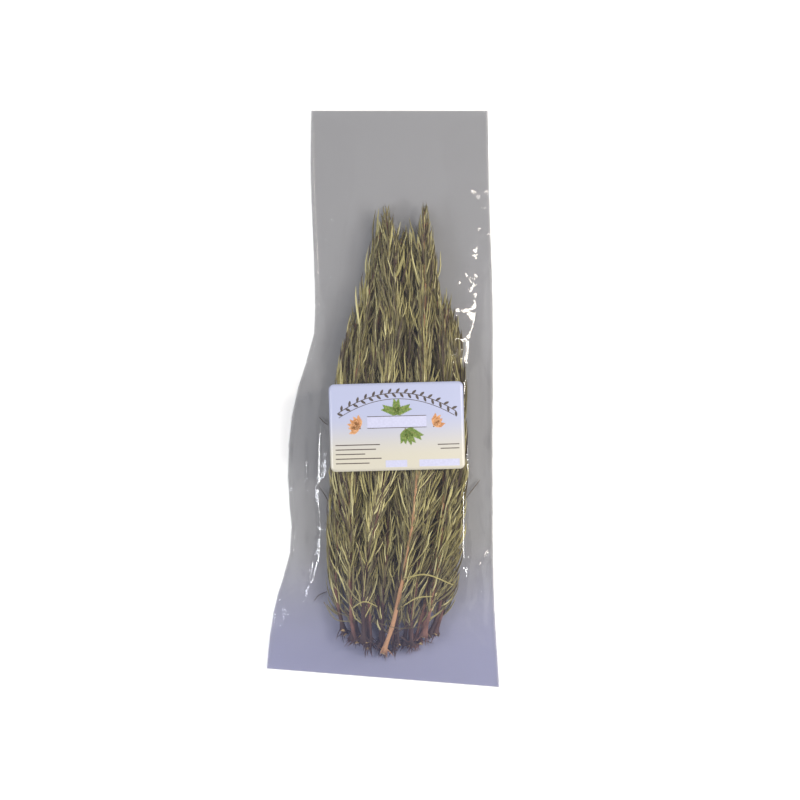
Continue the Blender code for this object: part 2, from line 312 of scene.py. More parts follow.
@dataclass(frozen=True)
class ClearFilm:
    """Cast polypropylene film, about 35 microns: clear, glossy on both faces, a little hazy.

    It reflects alike from both sides, a little at head on and much more at a glance. A faint
    lavender diffuse veil lies over it as haze, and towards its foot the veil thickens into a
    painted reflection of bluish light.
    """

    name: str = "clear_polypropylene_film"
    tint: str = "f9f9f8"
    # lavender of the diffuse veil: faint haze all over, and towards the foot a painted reflection of
    # bluish light
    haze_and_reflection_tint: str = "b9bdf6"
    haze_share: float = 0.008
    # share of the veil at the foot and where it rises: mostly a painted reflection of bluish light
    foot_haze_and_reflection_share: float = 0.05
    foot_y: tuple[float, float] = (-0.1, -0.2)
    head_on: float = 0.04
    grazing: float = 0.6
    roughness: float = 0.07
    ripple_mm: float = 9.0
    ripple_strength: float = 0.15

    def material(self) -> bpy.types.Material:
        """Builds the material on Object coordinates."""
        material, tree, output = new_material(self.name)
        place = object_place(tree)
        ripples = noise(tree, self.ripple_mm, place, {"Detail": 3.0})
        normal = bumped(tree, ripples, self.ripple_strength, 1.0)
        slant = add(tree, "ShaderNodeLayerWeight", {"Blend": 0.5}, {"Normal": normal})
        steep = maths(tree, "POWER", {0: slant.outputs["Facing"]}, {1: 5.0})
        mirror = maths(tree, "MULTIPLY_ADD", {0: steep}, {1: self.grazing, 2: self.head_on})
        clear = add(tree, "ShaderNodeBsdfTransparent", {"Color": linear(self.tint)})
        gloss = add(
            tree, "ShaderNodeBsdfAnisotropic", {"Roughness": self.roughness}, {"Normal": normal}
        )
        film = blend(tree, mirror, clear.outputs[0], gloss.outputs[0])
        # painted reflection: the lavender diffuse veil thickens towards the foot, standing in for
        # bluish light reflected off the film
        haze_and_painted_reflection = add(tree, "ShaderNodeBsdfDiffuse", {"Color": linear(self.haze_and_reflection_tint)})
        haze_and_reflection_share = fitted(
            tree, split(tree, place).outputs["Y"], self.foot_y,
            (self.haze_share, self.foot_haze_and_reflection_share), "SMOOTHSTEP",
        )
        whole = blend(tree, haze_and_reflection_share, film, haze_and_painted_reflection.outputs[0])
        tree.links.new(whole, output.inputs["Surface"])
        return material


@dataclass(frozen=True)
class LabelPaper:
    """Coated label paper, smooth and semi-gloss: a warm stock under a painted bluish light cast that
    is strongest at the top and fades out towards its foot.
    """

    name: str = "coated_label_paper"
    # painted light: the bluish skylight cast on the label's top
    painted_sky_cast: str = "adb2cc"
    warm: str = "c6c1b1"
    fibre_mm: float = 2.5
    roughness: float = 0.34

    def material(self) -> bpy.types.Material:
        """Builds the material on the sheet attribute, in metres from the label's middle."""
        material, tree, output = new_material(self.name)
        sheet = attribute(tree, "sheet").outputs["Vector"]
        # painted light: the top of the label takes a bluish skylight cast, fading into the warm
        # stock towards its foot
        sky_cast_fade = fitted(
            tree, split(tree, sheet).outputs["Y"], (12 * MM, -24 * MM), kind="SMOOTHSTEP"
        )
        stock_and_cast = add(
            tree, "ShaderNodeMix",
            {"data_type": "RGBA", "A": linear(self.painted_sky_cast), "B": linear(self.warm)},
            {"Factor": sky_cast_fade},
        )
        fibre = noise(tree, self.fibre_mm, sheet, {"Detail": 3.0})
        skin(
            tree, output,
            {"Roughness": self.roughness, "IOR": 1.5, "Coat Weight": 0.25, "Coat Roughness": 0.2},
            {"Base Color": stock_and_cast.outputs[2], "Normal": bumped(tree, fibre, 0.12, 0.2)},
        )
        return material


@dataclass(frozen=True)
class Ink:
    """Offset ink on coated paper: flat, a little glossier than the sheet."""

    name: str
    colour: str
    other: str
    patch_mm: float = 1.5

    def material(self) -> bpy.types.Material:
        """Builds the material on Object coordinates."""
        material, tree, output = new_material(self.name)
        patch = noise(tree, self.patch_mm, object_place(tree))
        colour = ramped(tree, patch, ((0.4, self.colour), (0.62, self.other)))
        skin(tree, output, {"Roughness": 0.35, "IOR": 1.5}, {"Base Color": colour})
        return material


@dataclass(frozen=True)
class StudioSweep:
    """Seamless background paper: white and dull, with a faint tooth."""

    name: str = "studio_paper"
    colour: str = "fdfdfd"
    tooth_mm: float = 3.0

    def material(self) -> bpy.types.Material:
        """Builds the material on Object coordinates."""
        material, tree, output = new_material(self.name)
        tooth = noise(tree, self.tooth_mm, object_place(tree))
        skin(
            tree, output, {"Base Color": linear(self.colour), "Roughness": 0.9, "IOR": 1.4},
            {"Normal": bumped(tree, tooth, 0.05, 0.2)},
        )
        return material


# ---------------------------------------------------------------- mesh tools

# The most cells that one pass of subdividing makes of an edge.
MOST_CUTS = 100


@dataclass
class Tube:
    """A primitive cylinder, cut into rows along its length, that other shapes are drawn from.

    Attributes:
        name: The name of the pattern object.
        sides: Points round it.
        rows: Cells along it.
    """

    name: str
    sides: int
    rows: int
    side: np.ndarray = field(init=False)
    row: np.ndarray = field(init=False)
    mesh: bpy.types.Mesh = field(init=False)

    def __post_init__(self) -> None:
        """Models the pattern: a cylinder of height 1, its long edges subdivided."""
        bpy.ops.object.select_all(action="DESELECT")
        bpy.ops.mesh.primitive_cylinder_add(
            vertices=self.sides, radius=1.0, depth=1.0, location=(0, 0, 0.5)
        )
        pattern = bpy.context.object
        pattern.name = self.name
        bpy.ops.object.transform_apply(location=True, rotation=True, scale=True)
        for cells in self._passes():
            self._cut_lengthwise(pattern, cells)
        self.mesh = pattern.data
        places = points_of(self.mesh)
        turn = np.arctan2(places[:, 1], places[:, 0]) / (2 * math.pi)
        self.side = np.round(turn * self.sides).astype(int) % self.sides
        self.row = np.round(places[:, 2] * self.rows).astype(int)
        bpy.data.objects.remove(pattern)

    def _passes(self) -> list[int]:
        """Cells that each edge is cut into, pass by pass."""
        coarse = next(
            n for n in range(1, self.rows + 1) if self.rows % n == 0 and self.rows // n <= MOST_CUTS
        )
        return [cells for cells in (coarse, self.rows // coarse) if cells > 1]

    @staticmethod
    def _cut_lengthwise(pattern: bpy.types.Object, cells: int) -> None:
        """Cuts every edge that runs lengthwise into equal cells."""
        bpy.ops.object.mode_set(mode="EDIT")
        bpy.ops.mesh.select_mode(type="EDGE")
        bpy.ops.mesh.select_all(action="DESELECT")
        form = bmesh.from_edit_mesh(pattern.data)
        for edge in form.edges:
            low, high = edge.verts
            edge.select_set(abs(high.co.z - low.co.z) > 1e-4)
        bmesh.update_edit_mesh(pattern.data)
        bpy.ops.mesh.subdivide(number_cuts=cells - 1)
        bpy.ops.object.mode_set(mode="OBJECT")

    def copy(self, name: str, grid: np.ndarray) -> bpy.types.Object:
        """Makes an object of the tube with its points moved onto a grid.

        Args:
            name: The new object's name.
            grid: Places by row, from 0 to rows, and by side.

        Returns:
            The new object, with its own mesh.
        """
        mesh = self.mesh.copy()
        mesh.name = name
        mesh.vertices.foreach_set("co", grid[self.row, self.side].ravel())
        mesh.update()
        return placed(name, mesh)


def placed(name: str, data: bpy.types.ID) -> bpy.types.Object:
    """A new object of some data, linked into the scene."""
    made = bpy.data.objects.new(name, data)
    bpy.context.scene.collection.objects.link(made)
    return made


def joined(parts: list[bpy.types.Object], name: str) -> bpy.types.Object:
    """Joins parts into the first of them, and gives it a name."""
    bpy.ops.object.select_all(action="DESELECT")
    for part in parts:
        part.select_set(True)
    bpy.context.view_layer.objects.active = parts[0]
    bpy.ops.object.join()
    parts[0].name = name
    return parts[0]


def points_of(mesh: bpy.types.Mesh) -> np.ndarray:
    """A mesh's points as rows of x, y, z."""
    places = np.zeros(len(mesh.vertices) * 3)
    mesh.vertices.foreach_get("co", places)
    return places.reshape(-1, 3)


def write_points(mesh: bpy.types.Mesh, name: str, kind: str, values: np.ndarray) -> None:
    """Stores a value at each of a mesh's points.

    Args:
        mesh: The mesh.
        name: The attribute's name.
        kind: FLOAT or FLOAT_VECTOR.
        values: One row for each point.
    """
    made = mesh.attributes.new(name, kind, "POINT")
    part = "value" if kind == "FLOAT" else "vector"
    made.data.foreach_set(part, values.astype(np.float32).ravel())


def unit(vectors: np.ndarray) -> np.ndarray:
    """Vectors scaled to a length of 1, along the last axis."""
    return vectors / np.maximum(np.linalg.norm(vectors, axis=-1, keepdims=True), 1e-12)


def soft_limit(values: np.ndarray, limit: np.ndarray, give: float) -> np.ndarray:
    """Values held under a limit, rounding off over about give near it."""
    over = np.clip((limit - values) / give, -60, 60)
    return limit - give * np.log1p(np.exp(over))


def blurred(grid: np.ndarray, times: int, axis: int) -> np.ndarray:
    """A grid smoothed along one axis by repeated weights of 1, 2, 1, with its ends held."""
    for _ in range(times):
        line = np.moveaxis(grid, axis, 0).copy()
        line[1:-1] = (line[:-2] + 2 * line[1:-1] + line[2:]) / 4
        grid = np.moveaxis(line, 0, axis)
    return grid


class Line:
    """A smooth line through a few points, read by the length along it."""

    def __init__(self, points: np.ndarray, count: int = 220) -> None:
        """Runs a cubic through the points.

        Args:
            points: Places that the line passes, in order.
            count: How many samples are kept.
        """
        points = np.asarray(points, float)
        chord = np.r_[0, np.cumsum(np.linalg.norm(np.diff(points, axis=0), axis=1))]
        slope = np.gradient(points, chord, axis=0)
        wanted = np.linspace(0, chord[-1], count)
        cell = np.clip(np.searchsorted(chord, wanted, side="right") - 1, 0, len(chord) - 2)
        span = (chord[cell + 1] - chord[cell])[:, None]
        t = (wanted - chord[cell])[:, None] / span
        start, end = points[cell], points[cell + 1]
        self.points = (
            (2 * t**3 - 3 * t**2 + 1) * start + (t**3 - 2 * t**2 + t) * span * slope[cell]
            + (3 * t**2 - 2 * t**3) * end + (t**3 - t**2) * span * slope[cell + 1]
        )
        steps = np.linalg.norm(np.diff(self.points, axis=0), axis=1)
        self.run = np.r_[0, np.cumsum(steps)]
        self.length = float(self.run[-1])
        self.heading = unit(np.gradient(self.points, self.run, axis=0))

    def at(self, along: np.ndarray) -> np.ndarray:
        """Places at lengths along the line."""
        return np.stack([np.interp(along, self.run, self.points[:, i]) for i in range(3)], -1)

    def towards(self, along: np.ndarray) -> np.ndarray:
        """Unit directions at lengths along the line."""
        found = [np.interp(along, self.run, self.heading[:, i]) for i in range(3)]
        return unit(np.stack(found, -1))


def rings_of(node: str, apart: float = 8 * MM) -> tuple[np.ndarray, np.ndarray]:
    """Reads the middle and the radius of each ring of a packed stem, from butt to tip.

    Args:
        node: The stem's node.
        apart: Rings lie further apart than this along y.

    Returns:
        The rings' middles, and their radii.
    """
    places = np.unique(np.round(points_of(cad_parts[node].data), 7), axis=0)
    places = places[np.argsort(places[:, 1])]
    cuts = np.where(np.diff(places[:, 1]) > apart)[0] + 1
    rings = np.split(places, cuts)
    middles = np.array([ring.mean(0) for ring in rings])
    radii = np.array([np.linalg.norm(r - r.mean(0), axis=1).max() for r in rings])
    return middles, radii


# ---------------------------------------------------------------- the bag

CREASE_SEED = 31
# Where the films stand among the bag's materials; the front panel's is the first.
GUSSET_FILM, BACK_FILM = 1, 2


@dataclass(frozen=True)
class Crease:
    """A fold or ridge pressed into the film.

    Attributes:
        points: x and y of a few points along it, in millimetres.
        height: How far it stands up, or down if negative, in millimetres.
        width: How far it reaches to each side, in millimetres.
    """

    points: tuple[tuple[float, float], ...]
    height: float
    width: float

    def lift(self, x: np.ndarray, y: np.ndarray) -> np.ndarray:
        """Height that the crease adds at places on the bag, in metres."""
        nearest = np.full(x.shape, np.inf)
        taper = np.zeros(x.shape)
        stations = np.array(self.points) * MM
        lengths = np.linalg.norm(np.diff(stations, axis=0), axis=1)
        whole = lengths.sum()
        done = 0.0
        for start, end, length in zip(stations[:-1], stations[1:], lengths):
            way = (end - start) / length
            along = np.clip((x - start[0]) * way[0] + (y - start[1]) * way[1], 0, length)
            away = np.hypot(x - start[0] - along * way[0], y - start[1] - along * way[1])
            nearer = away < nearest
            nearest = np.where(nearer, away, nearest)
            share = (done + along) / whole
            taper = np.where(nearer, np.sin(math.pi * np.clip(share, 0.02, 0.98)) ** 0.6, taper)
            done += length
        return self.height * MM * taper * np.exp(-((nearest / (self.width * MM)) ** 2))


CREASES = (
    # left side, where the film leaves the bundle
    Crease(((-58, -28), (-58.5, -55), (-58, -75)), 1.5, 1.4),
    Crease(((-51, -112), (-55, -128), (-58.5, -143)), 1.5, 1.1),
    Crease(((-66.5, -107), (-57, -104), (-42, -99.5)), 1.2, 1.0),
    Crease(((-58, -98), (-58.5, -108)), 1.0, 1.6),
    Crease(((-69, -126), (-61, -131), (-54, -137)), 1.4, 1.5),
    Crease(((-81, -157), (-74, -157), (-68, -157)), 0.5, 0.9),
    Crease(((-78, -162), (-74, -168)), 0.7, 1.2),
    Crease(((-48.5, -160), (-60, -176), (-72, -189), (-84, -200)), 1.9, 1.4),
    # right side
    Crease(((67, -96), (65.5, -120), (62, -145), (58.5, -160)), 1.25, 1.9),
    Crease(((74, -118), (75.5, -135), (75.5, -160), (75, -176)), 1.2, 2.0),
    Crease(((82, -109), (76, -122), (69, -128)), 1.7, 1.4),
    Crease(((58.3, -158.5), (64.5, -172), (74, -183), (85.5, -194)), 1.9, 1.2),
    Crease(((69, -198), (72, -203), (66, -208), (64, -213)), 0.7, 1.1),
    Crease(((72, -76), (75, -95), (79, -106)), 0.5, 1.2),
    Crease(((70, -57), (63, -62), (61, -70)), 1.3, 1.8),
    Crease(((61, -2), (68, 2), (75, 5)), 0.7, 1.1),
    Crease(((70, 10), (76, 17)), 0.6, 1.2),
    Crease(((60, 98), (64, 92), (69, 89)), 0.5, 1.0),
    Crease(((55, 120), (58, 105), (55, 85), (54, 60)), 0.6, 2.2),
    # the head's weld and the lie of the gussets under it
    Crease(((-52, 211), (0, 211.5), (76, 212)), 0.5, 0.9),
    Crease(((-20, 205), (-19.5, 150), (-23, 110)), 0.25, 1.1),
    Crease(((42.5, 205), (42, 160), (46, 120)), 0.25, 1.1),
)


class Outline:
    """The bag's edges and heights, read off its packed panels."""

    def __init__(self) -> None:
        """Finds the side folds, the two welds and the front panel's surface."""
        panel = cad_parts["bag_front_film"].data
        places = points_of(panel)
        self.left = self._edge(places, -1)
        self.right = self._edge(places, 1)
        self.head_y = float(places[:, 1].max())
        faces = [tuple(p.vertices) for p in panel.polygons]
        self.tree = BVHTree.FromPolygons([tuple(v) for v in places], faces)
        self.inner = {
            side: self._edge(points_of(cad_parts[node].data), -side)
            for side, node in ((-1, "bag_gusset_left"), (1, "bag_gusset_right"))
        }

    @staticmethod
    def _edge(places: np.ndarray, side: int) -> np.ndarray:
        """The outermost points on one side of a panel, in order along y."""
        reach, step = 6 * MM, 3.5 * MM
        near = np.abs(places[:, None, 1] - places[None, :, 1]) < reach
        beyond = side * (places[None, :, 0] - places[:, None, 0]) > step
        edge = places[~(near & beyond).any(1)]
        return edge[np.argsort(edge[:, 1])]

    def x_left(self, y: np.ndarray) -> np.ndarray:
        """x of the left fold."""
        return np.interp(y, self.left[:, 1], self.left[:, 0])

    def x_right(self, y: np.ndarray) -> np.ndarray:
        """x of the right fold."""
        return np.interp(y, self.right[:, 1], self.right[:, 0])

    def foot(self, across: np.ndarray) -> np.ndarray:
        """y of the slanting foot weld, from across = -1, left, to 1, right."""
        low, high = self.left[0, 1], self.right[0, 1]
        return low + (high - low) * (across + 1) / 2

    def place(self, across: np.ndarray, along: np.ndarray) -> tuple[np.ndarray, np.ndarray]:
        """x and y at shares across, -1 to 1, and along, 0 to 1."""
        y = self.foot(across) + (self.head_y - self.foot(across)) * along
        x = self.x_left(y) + (self.x_right(y) - self.x_left(y)) * (across + 1) / 2
        return x, y

    def shares(self, x: np.ndarray, y: np.ndarray) -> tuple[np.ndarray, np.ndarray]:
        """The shares across and along of places on the bag."""
        across = 2 * (x - self.x_left(y)) / (self.x_right(y) - self.x_left(y)) - 1
        foot = self.foot(np.clip(across, -1, 1))
        return across, (y - foot) / (self.head_y - foot)

    def packed_height(self, x: np.ndarray, y: np.ndarray) -> np.ndarray:
        """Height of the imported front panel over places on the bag."""
        found = np.zeros(x.size)
        start, down = 0.3, Vector((0, 0, -1))
        for i, (px, py) in enumerate(zip(x.ravel(), y.ravel())):
            hit = self.tree.ray_cast(Vector((px, py, start)), down)[0]
            found[i] = hit.z if hit else np.nan
        grid = found.reshape(x.shape)
        for row in grid:
            known = ~np.isnan(row)
            row[~known] = np.interp(np.where(~known)[0], np.where(known)[0], row[known])
        return grid


@dataclass
class FilmBag:
    """The bag: one tube of film with a front, a back and two gussets, creased and welded.

    Attributes:
        front_cells: Cells across the front panel.
        back_cells: Cells across the back panel.
        gusset_cells: Cells round each gusset.
        rows: Cells from foot to head.
        shoulder: How far out the front's flat top reaches, as a share of its half width.
        wrinkles: How many small creases are scattered along the sides.
    """

    outline: Outline
    front_cells: int = 172
    back_cells: int = 36
    gusset_cells: int = 8
    rows: int = 376
    shoulder: float = 0.72
    wrinkles: int = 150
    across: np.ndarray = field(init=False)
    along: np.ndarray = field(init=False)
    smooth: np.ndarray = field(init=False)
    front: np.ndarray = field(init=False)

    def __post_init__(self) -> None:
        """Works out the front panel's heights before anything is put under it."""
        self.across = np.linspace(-1, 1, self.front_cells + 1)
        self.along = np.linspace(0, 1, self.rows + 1)
        self.smooth = self._smooth_front()
        self.front = self._creased_front()

    def _smooth_front(self) -> np.ndarray:
        """The front panel's heights without creases, by row and column."""
        coarse_along, coarse_across = np.linspace(0, 1, 150), np.linspace(-1, 1, 60)
        inset = 0.9985
        x, y = self.outline.place(
            inset * coarse_across[None, :], coarse_along[:, None] * 0.998 + 0.001
        )
        packed = self.outline.packed_height(x, y)
        packed = blurred(blurred(packed, 8, 0), 4, 1)
        rows = np.stack([np.interp(self.across, coarse_across, line) for line in packed])
        grid = np.stack(
            [np.interp(self.along, coarse_along, rows[:, i]) for i in range(rows.shape[1])], 1
        )
        grid = blurred(blurred(grid, 20, 0), 20, 1)
        middle = len(self.across) // 2
        crown, edge = grid[:, middle : middle + 1], (grid[:, :1] + grid[:, -1:]) / 2
        out = np.abs(self.across)[None, :]
        top = 1 - 0.1 * (out / self.shoulder) ** 2
        side = 0.9 * ((1 - out) / (1 - self.shoulder)) ** 1.15
        boxed = edge + (crown - edge) * np.where(out < self.shoulder, top, side)
        y = self.outline.foot(self.across)[None, :] * (1 - self.along[:, None])
        y = y + self.outline.head_y * self.along[:, None]
        share = np.clip((y + 0.185) / 0.03, 0, 1) * np.clip((0.06 - y) / 0.08, 0, 1)
        grid = grid + (boxed - grid) * 0.75 * share
        return blurred(blurred(grid, 4, 0), 7, 1)

    def _creased_front(self) -> np.ndarray:
        """The front panel's heights with its creases and wrinkles."""
        x, y = self.outline.place(self.across[None, :], self.along[:, None])
        lift = sum(crease.lift(x, y) for crease in CREASES)
        for crease in self._scattered():
            lift = lift + crease.lift(x, y)
        slack = np.sin(x / (13 * MM) + 2.1 * np.sin(y / (37 * MM))) * np.sin(y / (29 * MM) + 1.3)
        lift = lift + 0.35 * MM * slack * np.clip((y - 0.11) / 0.06, 0, 1)
        band = np.clip(np.minimum(self.along, 1 - self.along) / 0.012, 0, 1)[:, None]
        rim = np.clip((1 - np.abs(self.across)) / 0.03, 0, 1)[None, :]
        return self.smooth + lift * band * rim

    def _scattered(self) -> list[Crease]:
        """Small creases thrown along the bag's sides and round its foot."""
        rng = np.random.default_rng(CREASE_SEED)
        made = []
        for _ in range(self.wrinkles):
            along = rng.beta(1.1, 1.5)
            side = rng.choice((-1, 1))
            across = side * rng.uniform(0.8, 0.97)
            x, y = (float(v) / MM for v in self.outline.place(np.array(across), np.array(along)))
            length = rng.uniform(5, 24)
            turn = math.pi / 2 + rng.normal(0, 0.5) if rng.random() < 0.6 else rng.normal(0, 0.6)
            dx, dy = length * math.cos(turn) / 2, length * math.sin(turn) / 2
            bow = rng.normal(0, 0.12) * length
            points = ((x - dx, y - dy), (x + bow, y), (x + dx, y + dy))
            made.append(Crease(points, rng.normal(0, 0.4), rng.uniform(0.8, 2.2)))
        return made

    def press(
        self, held: Callable[[np.ndarray, np.ndarray], tuple[np.ndarray, np.ndarray]]
    ) -> None:
        """Flattens the film where the label sticks to it.

        Args:
            held: Gives, for places on the bag, the label's share and the film's height under it.
        """
        x, y = self.outline.place(self.across[None, :], self.along[:, None])
        share, height = held(x, y)
        self.front = self.front + (height - self.front) * share

    def height(self, x: np.ndarray, y: np.ndarray, smooth: bool = False) -> np.ndarray:
        """Height of the front film over places on the bag, in metres.

        Args:
            x: Places across, in metres.
            y: Places along, in metres.
            smooth: Leaves the creases out.
        """
        grid = self.smooth if smooth else self.front
        across, along = self.outline.shares(x, y)
        column = np.clip((across + 1) / 2, 0, 1) * self.front_cells
        row = np.clip(along, 0, 1) * self.rows
        c = np.clip(column.astype(int), 0, self.front_cells - 1)
        r = np.clip(row.astype(int), 0, self.rows - 1)
        dc, dr = column - c, row - r
        low = grid[r, c] * (1 - dc) + grid[r, c + 1] * dc
        high = grid[r + 1, c] * (1 - dc) + grid[r + 1, c + 1] * dc
        return low * (1 - dr) + high * dr

    def back_height(self, x: np.ndarray, y: np.ndarray) -> np.ndarray:
        """Height of the back film: flat on the table, its edges lifting by a hair."""
        across, _ = self.outline.shares(x, y)
        return 0.12 * MM + 0.5 * MM * np.clip((np.abs(across) - 0.75) / 0.25, 0, 1) ** 2

    def build(self) -> bpy.types.Object:
        """Lofts the tube and dresses it."""
        loops = []
        down = np.linspace(1, -1, self.back_cells + 1)
        for r, along in enumerate(self.along):
            x, y = self.outline.place(self.across, np.full_like(self.across, along))
            front = np.stack([x, y, self.front[r]], 1)
            bx, by = self.outline.place(down, np.full_like(down, along))
            back = np.stack([bx, by, self.back_height(bx, by)], 1)
            right = self._gusset(front[-1], back[0], 1)
            left = self._gusset(back[-1], front[0], -1)
            loops.append(np.concatenate([front, right, back, left]))
        grid = np.array(loops)
        tube = Tube("film_pattern", grid.shape[1], self.rows)
        bag = tube.copy("film_bag", grid)
        bag.data.shade_smooth()
        self._dress(bag, tube.side)
        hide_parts("bag_front_film", "bag_back_film", "bag_gusset_left", "bag_gusset_right")
        return bag

    def _gusset(self, start: np.ndarray, end: np.ndarray, side: int) -> np.ndarray:
        """Points of a side gusset between two panels' edges, folded inwards."""
        y = (start[1] + end[1]) / 2
        inner = self.outline.inner[side]
        fold_x = np.interp(y, inner[:, 1], inner[:, 0])
        edge_x = (start[0] + end[0]) / 2
        depth = abs(edge_x - fold_x)
        beyond = max(inner[0, 1] - y, y - inner[-1, 1], 0.0)
        depth *= max(0.0, 1 - beyond / (12 * MM))
        t = np.linspace(0, 1, self.gusset_cells + 1)[1:-1]
        inward = depth * (1 - np.abs(2 * t - 1)) ** 0.8
        height = start[2] + (end[2] - start[2]) * t
        return np.stack([edge_x - side * inward, np.full_like(t, y), height], 1)

    def _dress(self, bag: bpy.types.Object, side_of: np.ndarray) -> None:
        """Gives the panels and the gussets their films."""
        bag.data.materials.append(ClearFilm().material())
        quiet = ClearFilm(
            name="clear_gusset_film", tint="ffffff", haze_share=0.0, foot_haze_and_reflection_share=0.0,
            head_on=0.0, grazing=0.02,
        )
        bag.data.materials.append(quiet.material())
        # the back film is tinted grey, darker than clear film, so the floor seen through the bag
        # reads grey; the lavender towards its foot is a painted reflection of bluish light
        grey_back = ClearFilm(
            name="grey_back_film", tint="c6c6c8", haze_and_reflection_tint="a4aaff", haze_share=0.0,
            foot_haze_and_reflection_share=0.15, head_on=0.02
        )
        bag.data.materials.append(grey_back.material())
        first = self.front_cells
        right = range(first, first + self.gusset_cells)
        left_start = first + self.gusset_cells + self.back_cells
        for face in bag.data.polygons:
            sides = [int(side_of[v]) for v in face.vertices]
            wraps = min(sides) == 0 and max(sides) > left_start
            start = max(sides) if wraps else min(sides)
            if len(sides) == 4 and (start in right or start >= left_start):
                face.material_index = GUSSET_FILM
            elif len(sides) == 4 and start >= first:
                face.material_index = BACK_FILM


# ---------------------------------------------------------------- the label

LABEL_GAP = 0.15 * MM
INK_GAP = 0.05 * MM


class Inks(IntEnum):
    """The print's inks, numbered as the print's materials are."""

    DARK = 0
    GREEN = 1
    STALK = 2
    CLAY = 3
    FIELD = 4


@dataclass
class Label:
    """A paper label with round corners, stuck on the front film.

    Attributes:
        width: Size across, in metres.
        height: Size along, in metres.
        turn: How far it is turned, in radians.
        corner: Radius of its corners.
        paper: Thickness of the paper.
    """

    bag: FilmBag
    width: float = 100 * MM
    height: float = 65 * MM
    turn: float = math.radians(1.5)
    corner: float = 4 * MM
    paper: float = 0.12 * MM
    middle: np.ndarray = field(init=False)

    def __post_init__(self) -> None:
        """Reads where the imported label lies."""
        low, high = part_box("label")
        self.middle = np.array([(low.x + high.x) / 2, (low.y + high.y) / 2])

    def to_sheet(self, x: np.ndarray, y: np.ndarray) -> tuple[np.ndarray, np.ndarray]:
        """Places on the bag as places on the label, from its middle."""
        cos, sin = math.cos(self.turn), math.sin(self.turn)
        dx, dy = x - self.middle[0], y - self.middle[1]
        return dx * cos + dy * sin, dy * cos - dx * sin

    def from_sheet(self, flat: np.ndarray) -> tuple[np.ndarray, np.ndarray]:
        """Places on the label, as rows, turned into x and y on the bag."""
        cos, sin = math.cos(self.turn), math.sin(self.turn)
        x = self.middle[0] + flat[:, 0] * cos - flat[:, 1] * sin
        y = self.middle[1] + flat[:, 0] * sin + flat[:, 1] * cos
        return x, y

    def film_height(self, x: np.ndarray, y: np.ndarray) -> np.ndarray:
        """The film's height under the label, whose paper keeps it nearly straight across."""
        across, along = self.to_sheet(x, y)
        back_x = x - across * math.cos(self.turn)
        back_y = y - across * math.sin(self.turn)
        reach = 8 * MM
        total = sum(
            self.bag.height(back_x + dx, back_y + dy, smooth=True)
            for dx in (-2 * reach, 0, 2 * reach) for dy in (-reach, 0, reach)
        )
        droop = 1.6 * MM * (across / (self.width / 2)) ** 2
        warp = 0.2 * MM * np.sin(across / (17 * MM) + 0.6) * np.cos(along / (21 * MM))
        return total / 9 - droop + warp

    def held(self, x: np.ndarray, y: np.ndarray) -> tuple[np.ndarray, np.ndarray]:
        """The label's share at places on the bag, with the film's height there."""
        across, along = self.to_sheet(x, y)
        margin = 13 * MM
        inside = np.minimum(
            self.width / 2 + margin - np.abs(across), self.height / 2 + margin - np.abs(along)
        )
        share = np.clip(inside / margin, 0, 1)
        return share * share * (3 - 2 * share), self.film_height(x, y)

    def build(self) -> bpy.types.Object:
        """Cuts the sheet, lays it on the film and thickens it."""
        bpy.ops.object.select_all(action="DESELECT")
        bpy.ops.mesh.primitive_plane_add(size=1)
        label = bpy.context.object
        label.name = "paper_label"
        label.scale = (self.width, self.height, 1)
        bpy.ops.object.transform_apply(location=False, rotation=False, scale=True)
        bpy.ops.object.mode_set(mode="EDIT")
        bpy.ops.mesh.select_all(action="SELECT")
        bpy.ops.mesh.bevel(offset=self.corner, segments=8, affect="VERTICES")
        for axis, size in ((0, self.width), (1, self.height)):
            for cut in np.arange(-size / 2 + 2.5 * MM, size / 2 - 1 * MM, 2.5 * MM):
                place, normal = [0, 0, 0], [0, 0, 0]
                place[axis], normal[axis] = cut, 1
                bpy.ops.mesh.select_all(action="SELECT")
                bpy.ops.mesh.bisect(plane_co=place, plane_no=normal)
        bpy.ops.object.mode_set(mode="OBJECT")
        flat = points_of(label.data)
        write_points(label.data, "sheet", "FLOAT_VECTOR", flat)
        x, y = self.from_sheet(flat)
        z = self.film_height(x, y) + LABEL_GAP
        label.data.vertices.foreach_set("co", np.stack([x, y, z], 1).ravel())
        solid = label.modifiers.new("paper", "SOLIDIFY")
        solid.thickness = self.paper
        solid.offset = 1
        bpy.ops.object.modifier_apply(modifier=solid.name)
        label.data.shade_smooth()
        label.data.materials.append(LabelPaper().material())
        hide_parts("label")
        return label


